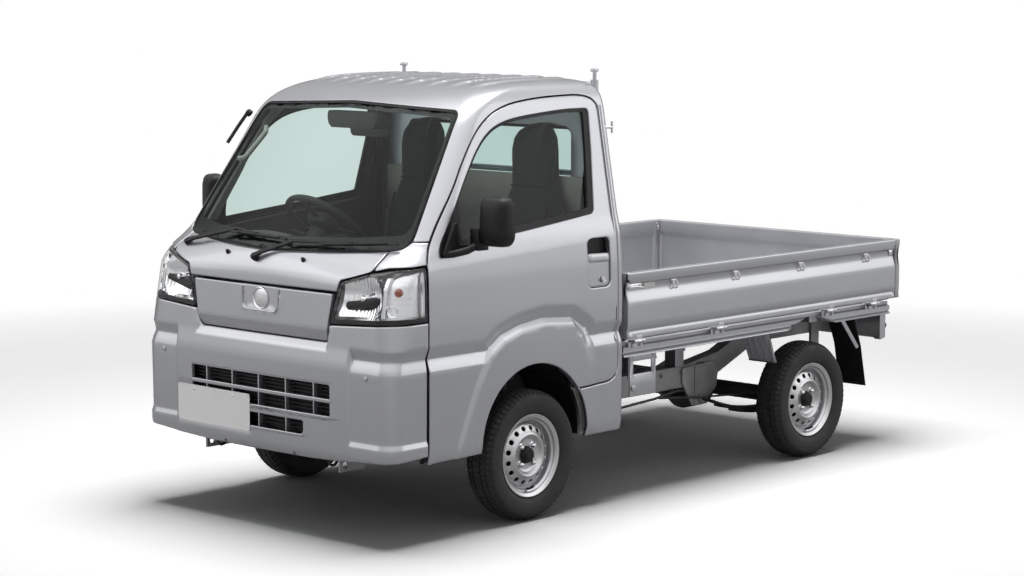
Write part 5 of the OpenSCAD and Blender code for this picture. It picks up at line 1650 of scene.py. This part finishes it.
shell, mglass, arms = mirror_parts()
pocket_back = prism(HANDLE, "x", HALF - 52, HALF - 44, 2, 1)
flap_line = dense(behind(rounded_loop([(1155, 916, 28), (1294, 916, 28), (1292, 1050, 4),
                                       (1155, 1054, 4)])), 8)
flap = patch([on_side(flap_line)], sunk(7, False), 10, ((0, 30), (0, 4), (1.3, 1.3), (4, 0), (8, 0)))
ridge = dense(behind(rounded_loop([(1156, 1018, 18), (1292, 1014, 18), (1292, 1052, 14),
                                   (1156, 1056, 14)])), 8)
lift = patch([on_side(ridge)], sunk(1, False), 10, ((0, 12), (0, 6), (3, 2.2), (8, 0.4), (14, 0)))
key = lathe([(0.1, 9), (3, 9), (4, 7), (8, 7), (10, 8.5), (12, 7), (12.5, 0)],
            (HALF - 12, FRONT + 1247, 945), (1, 0, 0), 28)
for side, flip in SIDES:
    body = "door_%s_body" % side
    head = [shell, mglass]
    if side == "right":
        fold = Matrix.Rotation(math.radians(MIRROR_FOLD), 4, "Z")
        head = [moved(moved(p, (-FOLD_X, -MIRROR_AT[1], 0)), (FOLD_X, MIRROR_AT[1], 0), fold) for p in head]
    make("mirror_head_" + side, [flip(p) for p in head[:1] + arms], BLACK, body,
         ("mirror_" + side,))
    make("mirror_glass_" + side, [flip(head[1])], CHROME, body)
    make("handle_pocket_" + side, [flip(pocket_back)], BLACK, body)
    make("handle_flap_" + side, [flip(p) for p in (flap, lift)], PAINT, body)
    make("door_key_" + side, [flip(key)], STEEL, body)


# Cab interior
SEAT_X, SEAT_Y, SEAT_Z = 330.0, -372.5, 700.0
PAD_SWELL = 22.0
PAD_PRESSURE = 4.0
PAD_FRAMES = 20
PAD_VOXEL, PAD_VOXEL_QUICK = 0.006, 0.012
WHEEL_TILT = 42.0


def cushion_form():
    """Seat cushion: crowned, higher at the front roll and at the side bolsters."""
    rings = []
    for k, y in enumerate(np.linspace(-612, -150, 13)):
        t = k / 12
        pinch = 1 - 0.05 * math.sin(math.pi * t)
        w = 206 * pinch * (0.94 if k in (0, 12) else 1)
        top = 132 - 12 * t - (14 if k == 0 else 0) - (6 if k == 12 else 0)
        low = 12 + (10 if k in (0, 12) else 0)
        row = rounded_loop([(-w, low, 26), (w, low, 26), (w, top + 6, 40), (w * 0.62, top, 60),
                            (-w * 0.62, top, 60), (-w, top + 6, 40)], 4)
        rings.append([(x, y, z) for x, z in row])
    return loft(rings)


def back_form():
    """High-back rest that narrows to the head."""
    rows = ((72, 186, 86), (150, 206, 96), (290, 212, 104), (400, 206, 100), (480, 184, 94), (550, 148, 88),
            (610, 122, 84), (690, 115, 84), (760, 113, 84), (810, 104, 80), (845, 84, 70), (868, 52, 50))
    rings = []
    for z, w, d in rows:
        lean = 0.045 * (z - 72)
        row = rounded_loop([(-w, 0, 34), (w, 0, 34), (w, -d - 4, 44), (w * 0.5, -d + 6, 70),
                            (-w * 0.5, -d + 6, 70), (-w, -d - 4, 44)], 4)
        rings.append([(x, y - 42 + lean, z) for x, y in row])
    return loft(rings)


def stuffed(name, form, cap, pin):
    """A padded piece blown up by cloth pressure, with its movement capped."""
    mesh = bpy.data.meshes.new(name)
    mesh.from_pydata((np.asarray(form[0]) * MM).tolist(), [], form[1])
    obj = bpy.data.objects.new(name, mesh)
    SCENE.collection.objects.link(obj)
    bm = bmesh.new()
    bm.from_mesh(mesh)
    bmesh.ops.recalc_face_normals(bm, faces=bm.faces)
    bm.to_mesh(mesh)
    bm.free()
    shape = obj.modifiers.new("shape", "REMESH")
    shape.mode = "VOXEL"
    shape.voxel_size = PAD_VOXEL
    dg = bpy.context.evaluated_depsgraph_get()
    fine = bpy.data.meshes.new_from_object(obj.evaluated_get(dg))
    obj.modifiers.clear()
    obj.data = fine
    start = np.array([v.co[:] for v in fine.vertices])
    group = obj.vertex_groups.new(name="held")
    group.add([i for i, v in enumerate(start) if pin(v / MM)], 1.0, "REPLACE")
    cloth = obj.modifiers.new("cloth", "CLOTH")
    cloth.settings.use_pressure = True
    cloth.settings.uniform_pressure_force = PAD_PRESSURE
    cloth.settings.effector_weights.gravity = 0
    cloth.settings.vertex_group_mass = "held"
    cloth.settings.quality = 4
    cloth.collision_settings.use_collision = False
    for k in range(1, PAD_FRAMES + 1):
        SCENE.frame_set(k)
    dg = bpy.context.evaluated_depsgraph_get()
    blown = np.array([v.co[:] for v in obj.evaluated_get(dg).data.vertices])
    obj.modifiers.clear()
    obj.vertex_groups.clear()
    SCENE.frame_set(1)
    move = blown - start
    far = np.linalg.norm(move, axis=1, keepdims=True)
    start = start + move * np.minimum(1, cap * MM / np.maximum(far, 1e-9))
    faces = [tuple(p.vertices) for p in fine.polygons]
    bpy.data.objects.remove(obj)
    return start / MM, faces


def pad_object(name, form, offset, replaces=()):
    """A cushion in seat cloth."""
    obj = make(name, [moved(form, offset)], CLOTH, "chassis", replaces, angle=180)


seat_pad = stuffed("seat_pad", cushion_form(), PAD_SWELL, lambda p: p[2] < 24)
back_pad = stuffed("back_pad", back_form(), PAD_SWELL, lambda p: p[1] > -46 + 0.045 * (p[2] - 72))


def surface_line(pad, pts, lift, down):
    """Points dropped on a pad from outside along a direction."""
    v = np.asarray(pad[0])
    d = np.array(down, float)
    out = []
    for p in np.asarray(pts, float):
        q = v - p
        off = q - (q @ d)[:, None] * d
        near = np.linalg.norm(off, axis=1) < 14
        out.append(p + d * ((q @ d)[near].min() - lift) if near.any() else p)
    return np.array(out)


piping = []
for x in (-128, 128):
    piping.append(tube(surface_line(seat_pad, [(x, y, 300) for y in np.linspace(-585, -190, 14)], -1.5,
                                    (0, 0, -1)), 3.5, 8))
    piping.append(tube(surface_line(back_pad, [(x * 0.98, -400, z) for z in np.linspace(130, 540, 14)],
                                    -1.5, (0, 1, 0)), 3.5, 8))
for y in (-480, -350):
    piping.append(tube(surface_line(seat_pad, [(x, y, 300) for x in np.linspace(-120, 120, 12)], -1.0,
                                    (0, 0, -1)), 3, 8))
for z in (330, 610):
    piping.append(tube(surface_line(back_pad, [(x, -400, z) for x in np.linspace(-100, 100, 12)], -1.0,
                                    (0, 1, 0)), 3, 8))
under = [rbox((-190, -580, 1), (190, -170, 26), 6), rbox((-150, -150, 8), (150, -60, 90), 12),
         tube([(-170, -600, 16), (170, -600, 16)], 8, 10)]
for side, k in (("left", 1), ("right", -1)):
    at = np.array((SEAT_X * k, SEAT_Y, SEAT_Z))
    pad_object("seat_cushion_" + side, seat_pad, at, ("seats",))
    pad_object("seat_back_" + side, back_pad, at)
    make("seat_piping_" + side, [moved(p, at) for p in piping], RUBBER_AND_SLOT_SHADE, "chassis")
    make("seat_base_" + side, [moved(p, at) for p in under], BLACK, "chassis")


def dash_parts():
    """Dashboard, its controls, its dials, and the steering column with stalks about the Z axis."""
    prof = rounded_loop([(158, 806, 20), (176, 1080, 26), (300, 1094, 60), (372, 1088, 34), (414, 1000, 26),
                         (392, 828, 36), (304, 786, 20)], 6)
    body = prism(behind(prof), "x", -636, 636, 5, 2)
    rings = []
    for x, top in ((-490, 1096), (-470, 1122), (-400, 1138), (-330, 1143), (-260, 1138), (-190, 1122),
                   (-170, 1096)):
        row = rounded_loop([(262, 1080, 8), (430, 1070, 10), (424, top - 16, 26), (330, top, 40),
                            (268, 1090, 12)], 4)
        rings.append([(x, FRONT + y, z) for y, z in row])
    hood = loft(rings)
    face = rbox((-470, FRONT + 404, 985), (-190, FRONT + 424, 1068), 10, 3)
    centre = rbox((-120, FRONT + 388, 858), (130, FRONT + 424, 1060), 14, 3)
    shelf = rbox((190, FRONT + 386, 880), (600, FRONT + 420, 920), 8, 3)
    vents, knobs, dials = [], [], []
    for x in (-560, -80, 90, 560):
        vents += [rbox((x - 52, FRONT + 396, 1006), (x + 52, FRONT + 428, 1060), 8, 3)]
        vents += [rbox((x - 46, FRONT + 424, z), (x + 46, FRONT + 432, z + 4), 1)
                  for z in (1014, 1026, 1038, 1048)]
    for x in (-60, 5, 70):
        knobs += [lathe([(22, 0), (21, 10), (18, 16), (0.1, 17)], (x, FRONT + 422, 900), (0, 1, 0), 28),
                  rbox((x - 2.5, FRONT + 434, 886), (x + 2.5, FRONT + 444, 914), 1.5)]
    for x, r in ((-390, 38), (-290, 42)):
        dials += [lathe([(r, 0), (r, 5), (r - 4, 6), (r - 5, 2), (0.1, 2)], (x, FRONT + 423, 1026),
                        (0, 1, 0), 40)]
    radio = [rbox((-88, FRONT + 422, 940), (100, FRONT + 430, 990), 3)]
    radio += [rbox((-80 + 36 * k, FRONT + 428, 946), (-54 + 36 * k, FRONT + 433, 956), 1.5)
              for k in range(5)]
    column = [lathe([(34, -385), (36, -60), (46, -40), (46, -6), (30, -2)], (0, 0, 0), (0, 0, 1), 32)]
    stalks = [tube([(40 * k, 0, -26), (130 * k, -8, -18), (170 * k, -10, -12)], 6, 10) for k in (-1, 1)]
    return [body, hood, face, centre, shelf] + vents, knobs + radio, dials, column + stalks


TILT = Matrix.Rotation(math.radians(-WHEEL_TILT), 4, "X")
WHEEL_RISE = 50.0
WHEEL_AT = np.array((-330.0, FRONT + 620, 1075.0)) + WHEEL_RISE * np.array(TILT.col[2][:3])
dash, knobs, dials, column = dash_parts()
make("dash_body", dash + [moved(p, WHEEL_AT, TILT) for p in column], DASH, "chassis",
     ("dashboard",))
make("dash_controls", knobs, BLACK, "chassis")
make("dash_dials", dials, GLOSS_BLACK, "chassis")


def steering_parts():
    """Ring, three spokes and boss of the steering wheel, about the Z axis."""
    ring = [(x, y, 40) for x, y in circle(178, 72)]
    parts = [tube(ring, 14, 16, True)]
    section = rounded_loop([(-20, -5, 4), (20, -5, 4), (17, 5, 4), (-17, 5, 4)], 2)
    for turn in (-90, 20, 160):
        x, y = math.cos(math.radians(turn)), math.sin(math.radians(turn))
        path = [(0, 0, 36), (70 * x, 70 * y, 30), (176 * x, 176 * y, 40)]
        parts.append(sweep(path, section, up=(0, 0, 1), scale=(1.3, 1.0, 0.7)))
    plan_row = rounded_loop([(-62, -62, 24), (62, -62, 24), (74, 44, 30), (-74, 44, 30)], 5)
    layers = ((0.55, 2), (0.86, 12), (1.0, 34), (0.98, 48), (0.86, 56), (0.4, 60))
    parts.append(loft([[(x * k, y * k - 6, z) for x, y in plan_row] for k, z in layers]))
    return parts


make("steering_ring", [moved(p, WHEEL_AT, TILT) for p in steering_parts()], DASH, "steering_wheel_body",
     ("steering_wheel",))


def camera_parts():
    """Camera unit at the windscreen's top, and the inside mirror on its stalk."""
    y0 = front_at(20, 1632, 40)[1]
    unit_rings, mirror_rings = [], []
    for w, d, z in ((144, 40, 1634), (150, 66, 1622), (150, 84, 1600), (144, 88, 1580), (128, 76, 1566)):
        row = rounded_loop([(-w, -10, 14), (w, -10, 14), (w * 0.94, d, 24), (-w * 0.94, d, 24)], 4)
        unit_rings.append([(x + 8, y0 + y, z) for x, y in row])
    for k, y in ((0.5, -22), (0.9, -18), (1, -6), (1, 4), (0.96, 8)):
        w, v, low, high = 110 * k, 112 * k, -32 * k, 30 * k
        row = rounded_loop([(-w, low, 20), (w, low, 20), (v, high, 22), (-v, high, 22)], 5)
        mirror_rings.append([(x + 10, -1080 + y, 1560 + z) for x, z in row])
    stalk = tube([(10, -1078, 1580), (14, -1090, 1640), (16, -1100, 1680)], 8, 10)
    return [loft(unit_rings), loft(mirror_rings), stalk]


make("camera_unit", camera_parts(), DASH, "chassis")
grab = tube(rounded_line([(-566, -1290, 1420), (-536, -1280, 1424), (-506, -1190, 1530),
                          (-530, -1166, 1550)], 26), 11, 12)
visors = [rbox((x - 170, -1075, 1660), (x + 170, -905, 1676), 7, 3) for x in (-330, 330)]
belts = [sweep([(x, -420, 1500), (x * 0.97, -430, 1300), (x * 0.95, -440, 1000), (x * 0.94, -450, 760)],
               [(-24, -1), (24, -1), (24, 1), (-24, 1)], up=(1, 0, 0)) for x in (-628, 628)]
make("cab_grab_handle", [grab] + visors, LINER, "chassis")
make("seat_belts", belts, RUBBER_AND_SLOT_SHADE, "chassis")
levers = [tube([(-20, -1020, 700), (-26, -1050, 800), (-30, -1062, 860)], 8, 10),
          lathe([(12, -26), (20, -14), (22, 0), (18, 14), (8, 20), (0.1, 21)], (-30, -1064, 876), (0, 0, 1),
                24), tube([(60, -700, 705), (60, -820, 760), (60, -880, 790)], 11, 12)]
pedals = [rbox((x - 26, -1346, 470), (x + 26, -1334, 530), 4) for x in (-240, -330, -430)]
pedals += [tube([(x, -1342, 510), (x, -1380, 640), (x, -1390, 780)], 7, 8) for x in (-240, -330, -430)]
make("cab_levers", levers + pedals, BLACK, "chassis")
back_trim = [rbox((-600, BACK_WALL - 52, 1140), (600, BACK_WALL - 40, 1352), 6, 2),
             rbox((-610, BACK_WALL - 54, 720), (610, BACK_WALL - 42, 1150), 6, 2)]
make("back_trim", back_trim, LINER, "chassis")


# Small pieces on the nose
def on_nose(x, z, depth):
    """A point on the nose with its outward normal."""
    p = front_at(x, z, depth)
    q = front_at(x + 4.0, z, depth) - front_at(x - 4.0, z, depth)
    return p, unit(np.array((q[1], -q[0], 0.0)))


def on_plate(x, z, proud=0.0):
    """A place on the plate's face."""
    y = front_at(PLATE_X + x, PLATE_Z)[1] + PLATE_IN
    return (PLATE_X + x, y - proud, PLATE_Z + z)


wide, tall = PLATE_HALF
outline = dense(rounded_box(-wide, -tall, wide, tall, 8, 4), 14)
plate = patch([outline], lambda x, z, d: np.array([on_plate(*p) for p in zip(x, z, -d)]), 16,
              ((0, 2.4), (0, 0.8), (1, 0.2), (4, 0), (6, 0.8), (10, 0.8)))
holder = []
for x in (-120, 120):
    y = on_plate(x, 0)[1]
    holder.append(rbox((PLATE_X + x - 14, y + 4, PLATE_Z + 36), (PLATE_X + x + 14, y + 40, PLATE_Z + 62), 3))
screws = [lathe([(0.1, 0.9), (4.5, 0.8), (6, 0), (6, -3)], on_plate(x, 56), (0, -1, 0), 20)
          for x in (-120, 120)]
make("plate_blank", [plate], WHITE, "chassis")
make("plate_holder", holder + screws, STEEL, "chassis")
dots = []
for x in (-596.0, 596.0):
    p, n = on_nose(x, 655.0, 6)
    dots += [lathe([(0.1, 3.4), (7, 3.2), (9, 2.4), (9.4, 1.0), (11.5, 1.0), (12, 0)], p, n, 28)]
make("nose_sensors", dots, PAINT, "chassis")
eyes = []
for x in (-330, 330):
    eyes += [tube([(x, -1600 + 22 * math.cos(a), 300 + 22 * math.sin(a))
                   for a in np.linspace(0, 2 * math.pi, 20, endpoint=False)], 6, 8, True),
             rbox((x - 6, -1604, 316), (x + 6, -1560, 350), 3)]
make("tow_eyes", eyes, UNDER, "chassis")
aerial = tube([(-636, -1180, 1602), (-646, -1222, 1548), (-658, -1270, 1482)], 7.5, 12)
aerial_foot = lathe([(15, -10), (15, 4), (11, 10), (0.1, 12)], (-632, -1172, 1606), (-0.7, -0.3, 0.6), 20)
make("aerial", [aerial, aerial_foot], BLACK, "chassis")

# Rear of the cab and bed
hooks = []
for k in (-1, 1):
    hooks += [tube(rounded_line([(k * 622, -336, 1560), (k * 640, -318, 1560), (k * 640, -300, 1560)], 10),
                   6, 10), tube([(k * 640, -299, 1536), (k * 640, -299, 1584)], 5, 10)]
make("cab_hooks", hooks, STEEL, "chassis")
posts = [rbox((k * 676, -300, 672), (k * 699, -274, 956), 4) for k in (-1, 1)]
wall = [rbox((-640, -277, z0), (640, -271, z1), 2) for z0, z1 in ((676, 706), (900, 956))]
wall += [rbox((x - 16, -277, 700), (x + 16, -271, 905), 2) for x in (-624, 0, 624)]
# front wall trim in the paler deck paint: painted light on the bed's front wall
make("bed_wall_trim", posts + wall, DECK_AND_LIT_INSIDE, "chassis")
deck = [tube([(x, -240, 671), (x, 1600, 671)], 2.2, 6) for x in np.linspace(-600, 600, 7)]
deck += [q for x in np.linspace(-560, 560, 5) for y in (-180, 360, 900, 1440)
         for q in bolt((x, y, 669.5), (0, 0, 1), 6, 3)]
make("deck_beads", deck, DECK_AND_LIT_INSIDE, "chassis")

# Sill, stays and brackets under the bed
sill_bolts = [q for y in (-215, -80) for z in (590, 510) for q in bolt((HALF - 47, y, z), (1, 0, 0), 6, 5)]
bracket = [rbox((HALF - 50, y0, z0), (HALF - 44, y1, z1), 2) for y0, y1, z0, z1 in
           ((-236, -212, 514, 578), (-92, -64, 514, 578), (-236, -64, 424, 518), (-236, -64, 574, 604))]
bracket += [lathe([(14, -8), (14, 6), (11, 9), (0.1, 10)], (HALF - 42, -216, 462), (1, 0, 0), 24)]
make("side_brackets", bracket + sill_bolts, PAINT, "chassis", both=True)
rail = [lathe([(0.1, -1), (16, -1), (18, 0.5), (21, 1.5), (22, 0)], (401.5, 593, 436), (1, 0, 0), 32)]
rail += [q for y, z in ((330, 420), (470, 424), (640, 410), (700, 440), (560, 380))
         for q in bolt((400.5, y, z), (1, 0, 0), 7, 6)]
make("rail_fittings", rail, CAST, "chassis", both=True)
ribs = []
for x in (590, 625, 660, 695):
    ribs.append(tube([(x, AXLE_R - 334, 592), (x, AXLE_R - 276, 474)], 4, 8))
ribs.append(tube(rounded_line([(562, AXLE_R - 274, 466), (706, AXLE_R - 274, 466),
                               (706, AXLE_R - 330, 596)], 10), 5, 8))
stay = [prism(rounded_loop([(1250, 612, 3), (1280, 612, 3), (1404, 472, 3), (1384, 462, 3)]), "x", 706, 713,
              2, 1)]
sheet = prism([(AXLE_R - 338, 600), (AXLE_R - 334, 602), (AXLE_R - 270, 468), (AXLE_R - 274, 466)], "x",
              560, 714, 0.8, 1)
make("mudguard_sheets", [sheet], DECK_AND_LIT_INSIDE, "chassis", both=True)
hanger = prism(rounded_loop([(470, 440, 10), (470, 372, 20), (540, 264, 12), (620, 258, 12), (716, 330, 10),
                             (728, 400, 20), (690, 452, 10)]), "x", 400, 410, 3, 2)
make("hanger_plates", [hanger], FRAME, "chassis", both=True)
make("mudguard_ribs", ribs + stay, PAINT, "chassis", both=True)
edge = [tube(rounded_line([(562, AXLE_R + 434, 284), (708, AXLE_R + 434, 284)], 4), 4, 8)]
make("flap_edges", edge, RUBBER_AND_SLOT_SHADE, "chassis", both=True)
post = prism(rounded_loop([(1604, 480, 8), (1648, 486, 6), (1648, 652, 4), (1612, 652, 4)]), "x", HALF - 84,
             HALF - 47, 4, 2)
stop = lathe([(16, 0), (17, 4), (17, 14), (13, 20), (0.1, 22)], (HALF - 66, 1647, 545), (0, 1, 0), 24)
make("rear_posts", [post], PAINT, "chassis", both=True)
make("rear_stops", [stop], RUBBER_AND_SLOT_SHADE, "chassis", both=True)
bulbs = []
for k in range(3):
    x = HALF - 220 + 60 * k
    bulbs.append(rbox((x - 27, REAR - 32, 516), (x + 27, REAR - 27.5, 584), 3))
make("tail_lenses", bulbs[:1], AMBER, "chassis", both=True)
make("tail_lenses_red", bulbs[1:], RED, "chassis", both=True)
drum = lathe([(40, 30), (98, 28), (100, 20), (100, -10), (80, -20)], (560, AXLE_R, AXLE_Z), (1, 0, 0), 40)
make("brake_backs", [drum], UNDER, "chassis", both=True)
hose = tube(rounded_line([(430, -300, 330), (440, 0, 320), (430, 250, 330), (420, 420, 345),
                          (330, 760, 300)], 60), 6, 8)
cable = tube(rounded_line([(410, 300, 325), (430, 560, 300), (480, 860, 290), (540, 990, 270)], 80), 5, 8)
make("brake_lines", [hose, cable], UNDER, "chassis", both=True)
sill_lip = tube([(HALF - 24, GATE_FRONT, 604), (HALF - 24, AXLE_R - 190, 604)], 3, 8)
make("sill_lips", [sill_lip], PAINT, "chassis", both=True)


def pillar_trim():
    """Pale trim inside the front pillar, from the windscreen's border to the door's opening."""
    zs = np.linspace(1160, 1622, 22)
    inner = 641 - 75 * (zs - 1146) / 504 - 18
    front = np.stack([run_of_x(inner, zs), climb(zs)], 1)
    wide = np.interp(zs, [1160, 1300, 1400, 1622], [104, 74, 52, 36])
    rear = np.stack([run_of_y(np.interp(zs, FRONT_EDGE[:, 1], FRONT_EDGE[:, 0]) + wide, zs), climb(zs)], 1)
    return patch([np.concatenate([front, rear[::-1]])[::-1]], sunk(58), 18,
                 ((0, -16), (0, -4), (1.2, -1.2), (4, 0), (9, 0)), flip=True)


make("pillar_trims", [pillar_trim()], LINER, "chassis", both=True)

# Black strips in the slot between the deck and the side gates, between the hinges: painted shade standing in
# for the shadow down in the slot.
HINGE_GAPS = [GATE_FRONT] + [y + d for y in HINGE_Y for d in (-48, 48)] + [GATE_BACK - 4]
slot_shade_strips = [rbox((699, a, 671), (705, b, 679), 1.5) for a, b in zip(HINGE_GAPS[::2], HINGE_GAPS[1::2])
               if b - a > 20]
make("slot_shade_strips", slot_shade_strips, RUBBER_AND_SLOT_SHADE, "chassis", both=True)
